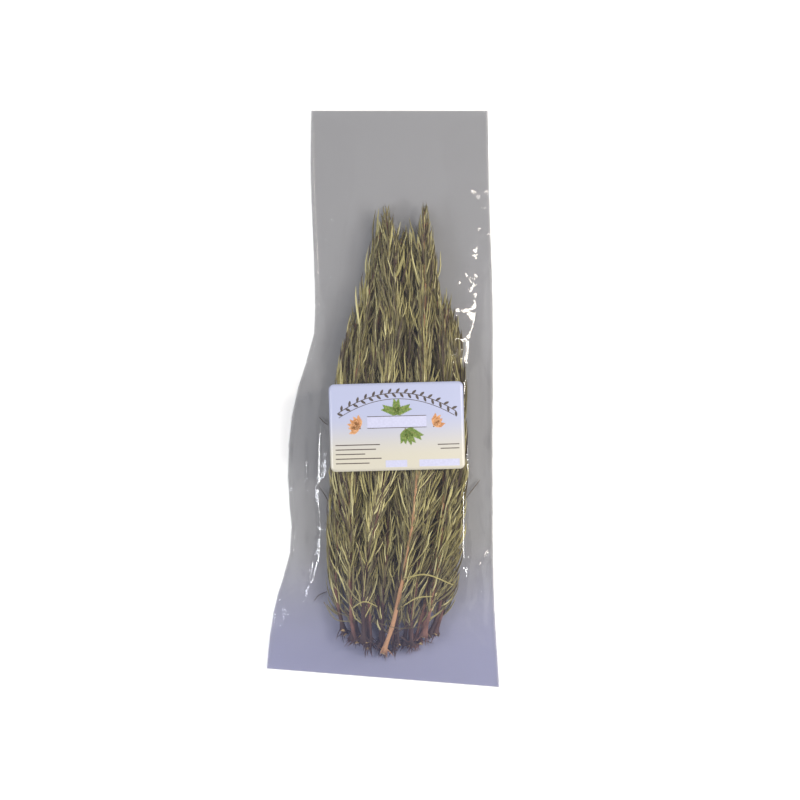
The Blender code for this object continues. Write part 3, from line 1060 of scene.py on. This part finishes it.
@dataclass
class LabelPrint:
    """Plain printed decoration on the label: rules, empty fields and a herb-sprig motif.

    Attributes:
        label: The sheet it is printed on.
        film: Thickness of the ink layer.
    """

    label: Label
    film: float = 0.03 * MM
    points: list[tuple[float, float]] = field(default_factory=list)
    faces: list[tuple[int, ...]] = field(default_factory=list)
    inks: list[int] = field(default_factory=list)

    def strip(self, line: np.ndarray, widths: np.ndarray, ink: int) -> None:
        """Prints a strip.

        Args:
            line: Its middle, in millimetres from the label's middle.
            widths: Its width at each point, in millimetres.
            ink: Which ink.
        """
        way = np.gradient(line, axis=0)
        way /= np.linalg.norm(way, axis=1, keepdims=True)
        across = np.stack([-way[:, 1], way[:, 0]], 1) * np.asarray(widths)[:, None] / 2
        start = len(self.points)
        for low, high in zip(line - across, line + across):
            self.points += [tuple(low), tuple(high)]
        for i in range(len(line) - 1):
            a = start + 2 * i
            self.faces.append((a, a + 2, a + 3, a + 1))
            self.inks.append(int(ink))

    def rule(
        self, start: tuple[float, float], end: tuple[float, float], width: float, ink: int
    ) -> None:
        """Prints a straight rule or, when wide, a field."""
        steps = max(3, int(math.dist(start, end) / 2))
        line = np.linspace(start, end, steps)
        self.strip(line, np.full(steps, width), ink)

    def arch(self, half: float, foot: float, rise: float, width: float, ink: int) -> None:
        """Prints an arched rule."""
        x = np.linspace(-half, half, 44)
        self.strip(np.stack([x, foot + rise * (1 - (x / half) ** 2)], 1), np.full(44, width), ink)

    def garland(self, half: float, foot: float, rise: float, count: int) -> None:
        """Prints an arch of small dark leaves, leaning to both sides of a thin stalk."""
        self.arch(half, foot, rise, 0.6, Inks.DARK)
        t = np.linspace(0, 1, 6)
        for i, x in enumerate(np.linspace(-half, half, count)):
            at = np.array([x, foot + rise * (1 - (x / half) ** 2)])
            lean = math.atan2(-2 * rise * x / half**2, 1) + (0.9 if i % 2 else -0.9)
            leaf = np.array([math.cos(lean), math.sin(lean)]) * 4.2
            widths = 1.9 * np.sin(math.pi * (0.08 + 0.84 * t))
            self.strip(at + leaf * t[:, None], widths, Inks.DARK)

    def leafy(self, foot: tuple[float, float], turn: float, length: float, ink: int) -> None:
        """Prints a small sprig of paired leaves."""
        way = np.array([math.cos(turn), math.sin(turn)])
        start = np.array(foot)
        self.rule(tuple(start), tuple(start + way * length), 0.45, Inks.STALK)
        t = np.linspace(0, 1, 6)
        widths = 1.3 * np.sin(math.pi * (0.08 + 0.84 * t))
        for i in range(int(length / 1.5)):
            at = start + way * (1 + 1.5 * i)
            for side in (-1, 1):
                lean = turn + side * 0.6
                leaf = np.array([math.cos(lean), math.sin(lean)]) * (5.6 - 2.2 * i * 1.5 / length)
                self.strip(at + leaf * t[:, None], widths, ink)

    def layout(self) -> None:
        """Sets out everything that is printed."""
        dark, green, clay = Inks.DARK, Inks.GREEN, Inks.CLAY
        self.garland(44, 10.5, 14.5, 31)
        self.arch(43, 7.4, 13.2, 0.45, dark)
        self.rule((-22, 3.5), (22, 3.5), 8.4, Inks.FIELD)
        for y in (-0.8, 7.8):
            self.rule((-22, y), (22, y), 0.5, dark)
        for foot, turn, length, ink in (
            ((-3, 9.5), 0.35, 13, green), ((3, 9.5), 2.8, 13, green), ((0, 9), 1.57, 9, green),
            ((6, -1.5), -0.5, 13, green), ((6, -1.5), -1.1, 11, green),
            ((6, -1.5), -1.7, 9, green), ((-27, -1), 1.9, 8, clay), ((-27, -1), 2.6, 8, clay),
            ((-27, -1), 3.3, 7, clay), ((27, -1), 1.2, 8, clay), ((27, -1), 0.5, 7, clay),
        ):
            self.leafy(foot, turn, length, ink)
        for i, end in enumerate((-13, -16, -24, -12, -21)):
            self.rule((-46, -13 - 3.4 * i), (end, -13 - 3.4 * i), 0.75, dark)
        self.rule((-9, -27.5), (7, -27.5), 5.2, Inks.FIELD)
        self.rule((16, -27.5), (46, -27.5), 5.2, Inks.FIELD)
        self.rule((30, -14), (46, -14), 0.7, dark)
        self.rule((32, -17), (46, -17), 0.7, dark)

    def build(self) -> bpy.types.Object:
        """Lays the ink on the paper."""
        self.layout()
        flat = np.array(self.points) * MM
        x, y = self.label.from_sheet(flat)
        z = self.label.film_height(x, y) + LABEL_GAP + self.label.paper + INK_GAP
        mesh = bpy.data.meshes.new("label_print")
        mesh.from_pydata(np.stack([x, y, z], 1), [], self.faces)
        for ink in (
            Ink("dark_brown_ink", "4b4340", "5c534d"), Ink("leaf_green_ink", "5f7a3a", "84944f"),
            Ink("stalk_brown_ink", "6b5636", "85693f"), Ink("clay_orange_ink", "bd8152", "d9a577"),
            Ink("pale_lavender_ink", "bcbdd4", "c2c3da"),
        ):
            mesh.materials.append(ink.material())
        mesh.polygons.foreach_set("material_index", self.inks)
        made = placed("label_print", mesh)
        bpy.ops.object.select_all(action="DESELECT")
        bpy.context.view_layer.objects.active = made
        solid = made.modifiers.new("ink", "SOLIDIFY")
        solid.thickness = self.film
        bpy.ops.object.modifier_apply(modifier=solid.name)
        return made


# ---------------------------------------------------------------- the sprigs


class Zone(Enum):
    """Stretches of the bundle that differ in how the needles lie."""

    BUTTS = "butts"
    LOWER = "lower"
    LOWER_RIGHT = "lower right"
    UPPER = "upper"


@dataclass(frozen=True)
class Habit:
    """How needles stand on the stem in one zone.

    Attributes:
        leave: Angle at which a needle leaves the stem, in degrees.
        end: Angle that its tip has bent to, in degrees.
        unruly: Spread of both angles, in degrees.
        keep: Share of the needles still on the stem.
        length: Needle length, in metres.
    """

    leave: float
    end: float
    unruly: float
    keep: float
    length: float


# The top sprig, whose stem stays in view.
HERO = 24
# Sprigs after this number, nearer the top, have extra side shoots.
FEW_SHOOTS_UP_TO = 14
EXTRA_SHOOTS = 3
SPRIG_SEED = 1000
STRAY_SEED = 77
NEEDLES_PER_NODE = 6
# Each sprig reads its bark this far, in metres, from where the one before it does.
GRAIN_STEP = 0.7
# Where the zones meet: along the bundle, and across it.
LOWER_END = -62 * MM
BUTTS_END = -160 * MM
RIGHT_START = 24 * MM
# The bundle's two edges: y, then x on the left and on the right, in millimetres.
BUNDLE_EDGES = (
    (-195, -37, 55), (-165, -43, 53), (-140, -43, 57), (-105, -43, 62), (-50, -42, 64), (0, -38, 64),
    (41, -32, 62), (75, -26, 55), (112, -13, 46), (146, -5, 38), (160, -3, 36),
)
HABITS = {
    Zone.BUTTS: Habit(36, 14, 18, 0.5, 20 * MM),
    Zone.LOWER: Habit(27, 7, 11, 0.8, 30 * MM),
    Zone.LOWER_RIGHT: Habit(40, 20, 12, 0.85, 29 * MM),
    Zone.UPPER: Habit(19, 2, 8, 0.84, 31 * MM),
}


@dataclass
class NeedleBatch:
    """Needles to be drawn, one row each."""

    base: np.ndarray
    start: np.ndarray
    end: np.ndarray
    length: np.ndarray
    width: np.ndarray
    tint: np.ndarray

    def joined(self, other: "NeedleBatch") -> "NeedleBatch":
        """This batch with another's rows after it."""
        names = ("base", "start", "end", "length", "width", "tint")
        return NeedleBatch(*(np.concatenate([getattr(self, n), getattr(other, n)]) for n in names))


class NeedlePattern:
    """One rosemary needle, modelled once: a long blade with its margins rolled under."""

    SIDES = 6
    ROWS = 6

    def __init__(self) -> None:
        """Shapes the needle from a cut cylinder of unit size: x across, y along, z up."""
        tube = Tube("needle_pattern", self.SIDES, self.ROWS)
        self.row = tube.row
        section = np.array(
            [(1.0, -0.25), (0.62, 0.55), (-0.62, 0.55), (-1.0, -0.25), (-0.5, -0.6), (0.5, -0.6)]
        )
        fullness = np.array([0.42, 0.9, 1.0, 1.0, 0.92, 0.7, 0.16])
        self.across = section[tube.side, 0] * fullness[tube.row]
        self.up = section[tube.side, 1] * fullness[tube.row]
        self.faces = [tuple(p.vertices) for p in tube.mesh.polygons]
        self.leaf = np.stack([section[tube.side, 0], tube.row / self.ROWS, section[tube.side, 1]], 1)

    def drawn(
        self, batch: NeedleBatch, rng: np.random.Generator,
        hold: Callable[[np.ndarray, np.ndarray], np.ndarray],
    ) -> tuple[np.ndarray, list]:
        """Bends a copy of the needle onto each row of a batch.

        Args:
            batch: The needles.
            rng: Source of waves and twists.
            hold: Keeps points, each with its own clearance, inside the bag.

        Returns:
            All points, and all faces.
        """
        count, stations = len(batch.length), self.ROWS + 1
        t = np.linspace(0, 1, stations)
        ease = t[None, :, None] ** 0.75
        way = unit(batch.start[:, None] * (1 - ease) + batch.end[:, None] * ease)
        side = unit(np.cross(way, rng.normal(0, 0.35, (count, 1, 3)) + np.array([0, 0, 1.0])))
        wave = rng.normal(0, 0.16, (count, 1, 1)) * np.sin(
            (t * rng.uniform(1.2, 2.4, (count, 1)) * math.pi * 2 + rng.uniform(0, 6.3, (count, 1)))
        )[:, :, None]
        way = unit(way + side * wave)
        step = batch.length[:, None, None] / self.ROWS * way
        middle = batch.base[:, None] + np.concatenate(
            [np.zeros((count, 1, 3)), np.cumsum((step[:, 1:] + step[:, :-1]) / 2, 1)], 1
        )
        depth = 0.9 * MM + rng.exponential(1.6 * MM, count)
        middle = hold(middle.reshape(-1, 3), np.repeat(depth, stations)).reshape(middle.shape)
        way = unit(np.gradient(middle, axis=1))
        side = unit(np.cross(np.array([0, 0, 1.0]) + rng.normal(0, 0.25, (count, 1, 3)), way))
        over = np.cross(way, side)
        twist = rng.normal(0, 0.5, (count, 1, 1))
        twist = twist + rng.normal(0, 0.9, (count, 1, 1)) * t[None, :, None]
        across = side * np.cos(twist) + over * np.sin(twist)
        up = over * np.cos(twist) - side * np.sin(twist)
        half = batch.width[:, None, None] / 2
        places = (
            middle[:, self.row] + across[:, self.row] * half * self.across[None, :, None]
            + up[:, self.row] * half * 0.75 * self.up[None, :, None]
        )
        offsets = np.arange(count) * len(self.row)
        faces = [tuple(v + o for v in face) for o in offsets.tolist() for face in self.faces]
        return places.reshape(-1, 3), faces


def zone_of(place: np.ndarray) -> np.ndarray:
    """The zone of each place, as an index into the list of zones."""
    zones = list(Zone)
    found = np.full(len(place), zones.index(Zone.UPPER))
    low = place[:, 1] < LOWER_END
    found[low] = zones.index(Zone.LOWER)
    found[low & (place[:, 0] > RIGHT_START)] = zones.index(Zone.LOWER_RIGHT)
    found[place[:, 1] < BUTTS_END] = zones.index(Zone.BUTTS)
    return found


@dataclass
class Sprig:
    """One sprig: a woody stem, its side shoots and the needles on them.

    Attributes:
        number: The sprig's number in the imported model.
        bag: The film that presses on it.
        node_gap: Length of stem between two whorls of needles.
        shoots: Side shoots on a low sprig.
        splinters: Torn strips at the butt.
    """

    number: int
    bag: FilmBag
    node_gap: float = 6.2 * MM
    shoots: int = 3
    splinters: int = 5

    def __post_init__(self) -> None:
        """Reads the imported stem's line, and lets it wander a little between its nodes."""
        self.name = f"sprig_{self.number:02d}"
        self.rng = np.random.default_rng(SPRIG_SEED + self.number)
        middles, radii = rings_of(f"{self.name}_stem")
        leaves_low, leaves_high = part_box(f"{self.name}_leaves")
        self.bare = leaves_low.y - middles[0, 1]
        tip = middles[-1] + (middles[-1] - middles[-2]) * 0.12
        tip[1] = leaves_high.y - 7 * MM
        rough = Line(np.vstack([middles, tip]))
        along = np.linspace(0, rough.length, 30)
        wander = np.zeros((30, 3))
        wander[:, 0] = blurred(self.rng.normal(0, 1.4 * MM, 30), 2, 0)
        wander[:, 2] = blurred(self.rng.normal(0, 0.7 * MM, 30), 2, 0)
        self.line = Line(rough.at(along) + wander, 320)
        self.radius_at = np.linspace(0, 1, len(radii))
        self.radii = radii
        self.tint = 0.95 if self.number == HERO else float(self.rng.uniform(-0.1, 0.5))

    def radius(self, share: np.ndarray) -> np.ndarray:
        """The stem's radius at shares of its length."""
        return np.interp(share, self.radius_at, self.radii)

    def side_lines(self) -> list[Line]:
        """The lines of the side shoots, which leave the stem and soon run beside it."""
        made = []
        extra = EXTRA_SHOOTS if self.number > FEW_SHOOTS_UP_TO else 0
        for _ in range(self.shoots + extra):
            start = self.rng.uniform(0.08, 0.7) * self.line.length
            length = min(self.rng.uniform(60, 120) * MM, (self.line.length - start) * 0.92)
            along = start + np.linspace(0, length, 9)
            turn = self.rng.uniform(0, 2 * math.pi)
            t = np.linspace(0, 1, 9)
            out = self.rng.uniform(3.0, 6.0) * MM * (1 - np.exp(-3 * t))
            offset = np.stack([out * math.cos(turn), 0 * t, 0.55 * out * math.sin(turn)], 1)
            made.append(Line(self.line.at(along) + offset, 80))
        return made

    def needles_along(self, line: Line, start: float, scale: float) -> NeedleBatch:
        """The needles of one stem or shoot.

        Args:
            line: The line they stand on.
            start: Length along it where they begin.
            scale: Size against a full needle.

        Returns:
            The batch, its points not yet held under the film.
        """
        rng = self.rng
        nodes = np.arange(start, line.length, self.node_gap)
        along = np.repeat(nodes, NEEDLES_PER_NODE)
        along = along + rng.normal(0, 1.2 * MM, len(along))
        along = np.clip(along, start, line.length)
        count = len(along)
        base, way = line.at(along), line.towards(along)
        zones = list(Zone)
        which = zone_of(base)
        habit = np.array([
            (HABITS[z].leave, HABITS[z].end, HABITS[z].unruly, HABITS[z].keep, HABITS[z].length)
            for z in zones
        ])[which]
        turn = np.repeat(np.arange(len(nodes)) % 2 * math.pi / 2, NEEDLES_PER_NODE)
        turn = turn + np.tile(np.arange(NEEDLES_PER_NODE) * math.pi, len(nodes))
        turn = turn + rng.normal(0, 0.55, count)
        right = np.array([1.0, 0, 0])
        beside = unit(right - way * (way @ right)[:, None])
        above = np.cross(beside, way)
        out = unit(beside * np.cos(turn)[:, None] + above * (0.6 * np.sin(turn))[:, None])
        leaning = which == zones.index(Zone.LOWER_RIGHT)
        out[leaning] = unit(out[leaning] + np.array([1.1, 0, 0.3]))
        leave = np.radians(np.abs(habit[:, 0] + rng.normal(0, 1, count) * habit[:, 2]))
        end = np.radians(habit[:, 1] + rng.normal(0, 1, count) * habit[:, 2])
        begin = way * np.cos(leave)[:, None] + out * np.sin(leave)[:, None]
        finish = way * np.cos(end)[:, None] + out * np.sin(end)[:, None]
        young = np.clip((line.length - along) / (30 * MM), 0.45, 1)
        axil = np.tile(np.array([1, 1, 0.8, 0.8, 0.55, 0.55]), len(nodes))
        length = habit[:, 4] * scale * young * axil * rng.uniform(0.75, 1.25, count)
        width = rng.normal(1.55, 0.22, count).clip(1.0, 2.1) * MM * (0.6 + 0.4 * young)
        tint = np.clip(rng.normal(0.56, 0.27, count) - 0.35 * (rng.random(count) < 0.15), 0.02, 1)
        kept = rng.random(count) < habit[:, 3]
        return NeedleBatch(
            base[kept], begin[kept], finish[kept], length[kept], width[kept], tint[kept]
        )

    def hold(
        self, places: np.ndarray, clearance: np.ndarray, below: np.ndarray | float = 1.0 * MM
    ) -> np.ndarray:
        """Keeps points inside the bag: what presses on the film bends under it.

        Args:
            places: The points.
            clearance: How far each stays from the front film, in metres.
            below: How far each stays above the back film, in metres.

        Returns:
            The points, moved where they have to be.
        """
        held = places.copy()
        edges = np.array(BUNDLE_EDGES) * MM
        left, right = (np.interp(places[:, 1], edges[:, 0], edges[:, i]) for i in (1, 2))
        inset = 0.8 * (clearance - clearance.min())
        held[:, 0] = soft_limit(held[:, 0], right - inset, 1.8 * MM)
        held[:, 0] = -soft_limit(-held[:, 0], -left - inset, 1.8 * MM)
        under = self.bag.back_height(held[:, 0], held[:, 1]) + below
        over = self.bag.height(held[:, 0], held[:, 1]) - 0.9 * MM - clearance
        over = np.maximum(over, under + 0.3 * MM)
        held[:, 2] = -soft_limit(-held[:, 2], -under, 0.5 * MM)
        held[:, 2] = soft_limit(held[:, 2], over, 0.8 * MM)
        return held

    def build_needles(self, pattern: NeedlePattern, leaf: bpy.types.Material) -> bpy.types.Object:
        """Grows the needles of the stem and of its shoots as one piece."""
        self.shoot_lines = self.side_lines()
        batch = self.needles_along(self.line, self.bare * 0.5, 1.0)
        for line in self.shoot_lines:
            batch = batch.joined(self.needles_along(line, 6 * MM, 0.85))
        places, faces = pattern.drawn(batch, self.rng, self.hold)
        mesh = bpy.data.meshes.new(f"{self.name}_needles")
        mesh.from_pydata(places, [], faces)
        mesh.shade_smooth()
        count = len(batch.length)
        write_points(mesh, "leaf", "FLOAT_VECTOR", np.tile(pattern.leaf, (count, 1)))
        write_points(mesh, "tint", "FLOAT", np.repeat(batch.tint, len(pattern.row)))
        mesh.materials.append(leaf)
        needles = placed(f"{self.name}_needles", mesh)
        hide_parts(f"{self.name}_leaves")
        return needles

    def splinter(self) -> Line:
        """The line of a torn strip of wood and bark at the butt."""
        butt = self.line.points[0]
        start = butt + self.rng.normal(0, 0.9, 3) * MM + np.array([0, 3, 0]) * MM
        out = np.array([self.rng.normal(0, 3.6), -self.rng.uniform(4, 11), self.rng.normal(0, 1)])
        end = start + out * MM
        return Line(np.array([start, (start + end) / 2 + self.rng.normal(0, 0.4, 3) * MM, end]), 30)

    def rod(self, line: Line, radius: np.ndarray, tube: Tube) -> np.ndarray:
        """A grid of points round a line, by row and side."""
        along = np.linspace(0, line.length, tube.rows + 1)
        middle = self.hold(line.at(along), radius, 1.3 * radius + 0.2 * MM)
        middle[:, 2] = np.maximum(middle[:, 2], 1.3 * radius + 0.3 * MM)
        way = unit(np.gradient(middle, axis=0))
        beside = unit(np.cross(np.array([0, 0, 1.0]), way))
        above = np.cross(way, beside)
        turn = np.arange(tube.sides) / tube.sides * 2 * math.pi
        lumps = 1 + blurred(self.rng.normal(0, 0.12, (len(along), tube.sides)), 1, 0)
        size = radius[:, None] * lumps
        return (
            middle[:, None] + beside[:, None] * (size * np.cos(turn))[:, :, None]
            + above[:, None] * (size * np.sin(turn))[:, :, None]
        )

    def build_wood(
        self, stem_tube: Tube, shoot_tube: Tube, bark: bpy.types.Material, cut: bpy.types.Material
    ) -> bpy.types.Object:
        """Makes the stem and its shoots as one piece."""
        share = np.linspace(0, 1, stem_tube.rows + 1)
        swell = 1 + 0.22 * np.exp(-(((share * self.line.length) % (17 * MM)) / (2 * MM)) ** 2)
        flare = 0.35 if self.number == HERO else self.rng.choice((0.3, 0.6, 1.3))
        heel = 1 + flare * np.exp(-share * self.line.length / (4 * MM))
        slim = 1.0 if self.number == HERO else 0.8
        radius = self.radius(share) * swell * heel * slim
        grid = self.rod(self.line, radius, stem_tube)
        ragged = self.rng.uniform(-2.2, 1.0, stem_tube.sides) * MM
        grid[0, :, 1] += ragged
        parts = [self._part("stem", stem_tube, grid, self.line.length)]
        for i, line in enumerate(self.shoot_lines):
            thin = np.linspace(0.75, 0.35, shoot_tube.rows + 1) * MM
            grid = self.rod(line, thin, shoot_tube)
            parts.append(self._part(f"shoot_{i}", shoot_tube, grid, line.length))
        for i in range(self.splinters):
            thin = np.linspace(self.rng.uniform(0.9, 1.9), 0.2, shoot_tube.rows + 1) * MM
            line = self.splinter()
            grid = self.rod(line, thin, shoot_tube)
            parts.append(self._part(f"splinter_{i}", shoot_tube, grid, line.length))
        for part in parts:
            part.data.materials.append(bark)
            part.data.materials.append(cut)
        near_butt = self.line.points[8, 1]
        for face in parts[0].data.polygons:
            face.material_index = int(len(face.vertices) > 4 and face.center.y < near_butt)
        wood = joined(parts, f"{self.name}_wood")
        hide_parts(f"{self.name}_stem")
        return wood

    def _part(self, kind: str, tube: Tube, grid: np.ndarray, length: float) -> bpy.types.Object:
        """One rod of the wood, with its grain and tint stored."""
        part = tube.copy(f"{self.name}_{kind}", grid)
        part.data.shade_smooth()
        turn = tube.side / tube.sides * 2 * math.pi
        run = tube.row / tube.rows * length
        darker = 0.5 * np.exp(-run / (16 * MM))
        run = run + self.number * GRAIN_STEP
        girth = 1.6 * MM
        grain = np.stack([girth * np.cos(turn), girth * np.sin(turn), run], 1)
        write_points(part.data, "grain", "FLOAT_VECTOR", grain)
        write_points(part.data, "tint", "FLOAT", self.tint - darker)
        return part


@dataclass(frozen=True)
class Stray:
    """A loose needle or twig: points across and along in millimetres, its width and tint."""

    points: tuple[tuple[float, float], ...]
    width: float = 1.5
    tint: float = 0.6
    on_top: bool = True


STRAYS = (
    Stray(((15.3, -133.7), (29.8, -130.6), (52.6, -138.5)), 1.9, 0.75),
    Stray(((-24.3, -157), (-13.5, -151), (-4, -154.7)), 1.5, 0.8),
    Stray(((14, -155), (26, -148), (37, -147)), 1.8, 0.7),
    Stray(((21, -183.5), (28.5, -181.8), (38, -184)), 1.1, 0.15, False),
    Stray(((-52, -152), (-48.5, -148), (-42.3, -145)), 1.1, 0.02, False),
    Stray(((-43.7, -94), (-41, -94.4), (-37.7, -95.2)), 1.2, 0.0, False),
    Stray(((-44, -151.5), (-34, -165), (-24.3, -166)), 1.5, 0.45),
    Stray(((73, -61), (68, -67.5), (62.5, -74.6)), 1.3, 0.1, False),
    Stray(((-48, -13.6), (-45, -17), (-41.4, -19.6)), 1.2, 0.12, False),
    Stray(((-8, -166), (12, -171), (30, -170)), 1.0, 0.3),
    Stray(((-48, -66), (-44, -72), (-40, -79)), 1.0, 0.05, False),
)


@dataclass
class LooseNeedles:
    """Needles that have dropped from the sprigs and lie about in the bag."""

    bag: FilmBag
    sides: int = 6
    rows: int = 16

    def build(self, leaf: bpy.types.Material) -> bpy.types.Object:
        """Lays the loose needles and joins them into one piece."""
        tube = Tube("stray_pattern", self.sides, self.rows)
        rng = np.random.default_rng(STRAY_SEED)
        parts = [self._lay(tube, stray, f"stray_{i}", rng) for i, stray in enumerate(STRAYS)]
        for part in parts:
            part.data.materials.append(leaf)
        loose = joined(parts, "loose_needles")
        return loose

    def _lay(
        self, tube: Tube, stray: Stray, name: str, rng: np.random.Generator
    ) -> bpy.types.Object:
        """Bends one needle along its line."""
        flat = np.array(stray.points) * MM
        x, y = flat[:, 0], flat[:, 1]
        height = self.bag.height(x, y) - 1.5 * MM
        if not stray.on_top:
            height = np.minimum(self.bag.back_height(x, y) + 2 * MM, height)
        line = Line(np.stack([x, y, height], 1), 60)
        t = np.linspace(0, 1, tube.rows + 1)
        fullness = 0.35 + 0.65 * np.sin(math.pi * np.clip(t, 0.06, 0.97)) ** 0.5
        half = stray.width * MM / 2 * fullness
        middle, way = line.at(t * line.length), line.towards(t * line.length)
        side = unit(np.cross(np.array([0, 0, 1.0]), way))
        over = np.cross(way, side)
        turn = np.arange(tube.sides) / tube.sides * 2 * math.pi
        grid = (
            middle[:, None] + side[:, None] * (half[:, None] * np.cos(turn))[:, :, None]
            + over[:, None] * (0.6 * half[:, None] * np.sin(turn))[:, :, None]
        )
        part = tube.copy(name, grid)
        part.data.shade_smooth()
        around = tube.side / tube.sides * 2 * math.pi
        leaf = np.stack([np.cos(around), tube.row / tube.rows, 0.5 * np.sin(around)], 1)
        write_points(part.data, "leaf", "FLOAT_VECTOR", leaf)
        tint = np.full(len(around), stray.tint + rng.normal(0, 0.03))
        write_points(part.data, "tint", "FLOAT", tint)
        return part


# ---------------------------------------------------------------- the studio


@dataclass
class Studio:
    """The floor, the lights and the camera."""

    look_at: tuple[float, float] = (12.8 * MM, -0.8 * MM)
    height: float = 2.6
    frame_width: float = 602.8 * MM
    sensor: float = 36.0

    def floor(self) -> None:
        """A wide sheet of white paper under the bag."""
        bpy.ops.object.select_all(action="DESELECT")
        bpy.ops.mesh.primitive_plane_add(size=12, location=(0, 0, -0.3 * MM))
        floor = bpy.context.object
        floor.name = "studio_floor"
        floor.data.materials.append(StudioSweep().material())

    def lamp(self, name: str, place: tuple, size: tuple, power: float, tone: str) -> None:
        """A soft box that faces the bundle.

        Args:
            name: The lamp's name.
            place: Where it hangs, in metres.
            size: Its width and height, in metres.
            power: In watts.
            tone: Its colour.
        """
        light = bpy.data.lights.new(name, "AREA")
        light.shape = "RECTANGLE"
        light.size, light.size_y = size
        light.energy = power
        light.color = linear(tone)[:3]
        lamp = placed(name, light)
        lamp.location = place
        lamp.rotation_euler = (-Vector(place)).to_track_quat("-Z", "Y").to_euler()

    def camera(self) -> None:
        """Looks straight down on the bag, its head at the top of the view."""
        view = bpy.data.cameras.new("view")
        view.sensor_width = self.sensor
        view.lens = self.sensor * self.height / self.frame_width
        camera = placed("view", view)
        camera.location = (*self.look_at, self.height)
        bpy.context.scene.camera = camera

    def build(self) -> None:
        """Sets up the whole studio."""
        self.floor()
        self.camera()
        self.lamp("key", (0.85, 0.2, 0.85), (0.07, 1.1), 9.5, "fff6ea")
        self.lamp("fill", (-0.85, -0.15, 0.7), (0.05, 1.2), 3.5, "f2f5ff")
        self.lamp("left_glint", (-0.85, -0.11, 0.78), (0.24, 0.22), 3.6, "ffffff")
        self.lamp("right_glint", (0.85, -0.15, 0.78), (0.24, 0.22), 4.5, "ffffff")
        world = bpy.data.worlds.new("studio_air")
        bpy.context.scene.world = world
        world.use_nodes = True
        sky = world.node_tree.nodes["Background"]
        sky.inputs["Color"].default_value = linear("f8f9fc")
        sky.inputs["Strength"].default_value = 0.5
        bpy.context.scene.view_settings.view_transform = "Standard"


def main() -> None:
    """Builds the bag, the label and the sprigs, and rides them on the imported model."""
    logging.basicConfig(level=logging.INFO, format="%(name)s: %(message)s")
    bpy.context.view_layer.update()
    Studio().build()
    bag = FilmBag(Outline())
    label = Label(bag)
    bag.press(label.held)
    pieces = [bag.build(), label.build(), LabelPrint(label).build()]
    pattern = NeedlePattern()
    stem_tube, shoot_tube = Tube("stem_pattern", 9, 90), Tube("shoot_pattern", 6, 24)
    leaf, bark, cut = DriedLeaf().material(), StemBark().material(), CutWood().material()
    pieces.append(LooseNeedles(bag).build(leaf))
    stems = sorted(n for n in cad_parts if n.endswith("_stem"))
    for node in stems:
        sprig = Sprig(int(node.split("_")[1]), bag)
        pieces.append(sprig.build_needles(pattern, leaf))
        pieces.append(sprig.build_wood(stem_tube, shoot_tube, bark, cut))
    for piece in pieces:
        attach(piece, BODY)
        log.info("%s: %d faces", piece.name, len(piece.data.polygons))


if __name__ == "__main__":
    main()
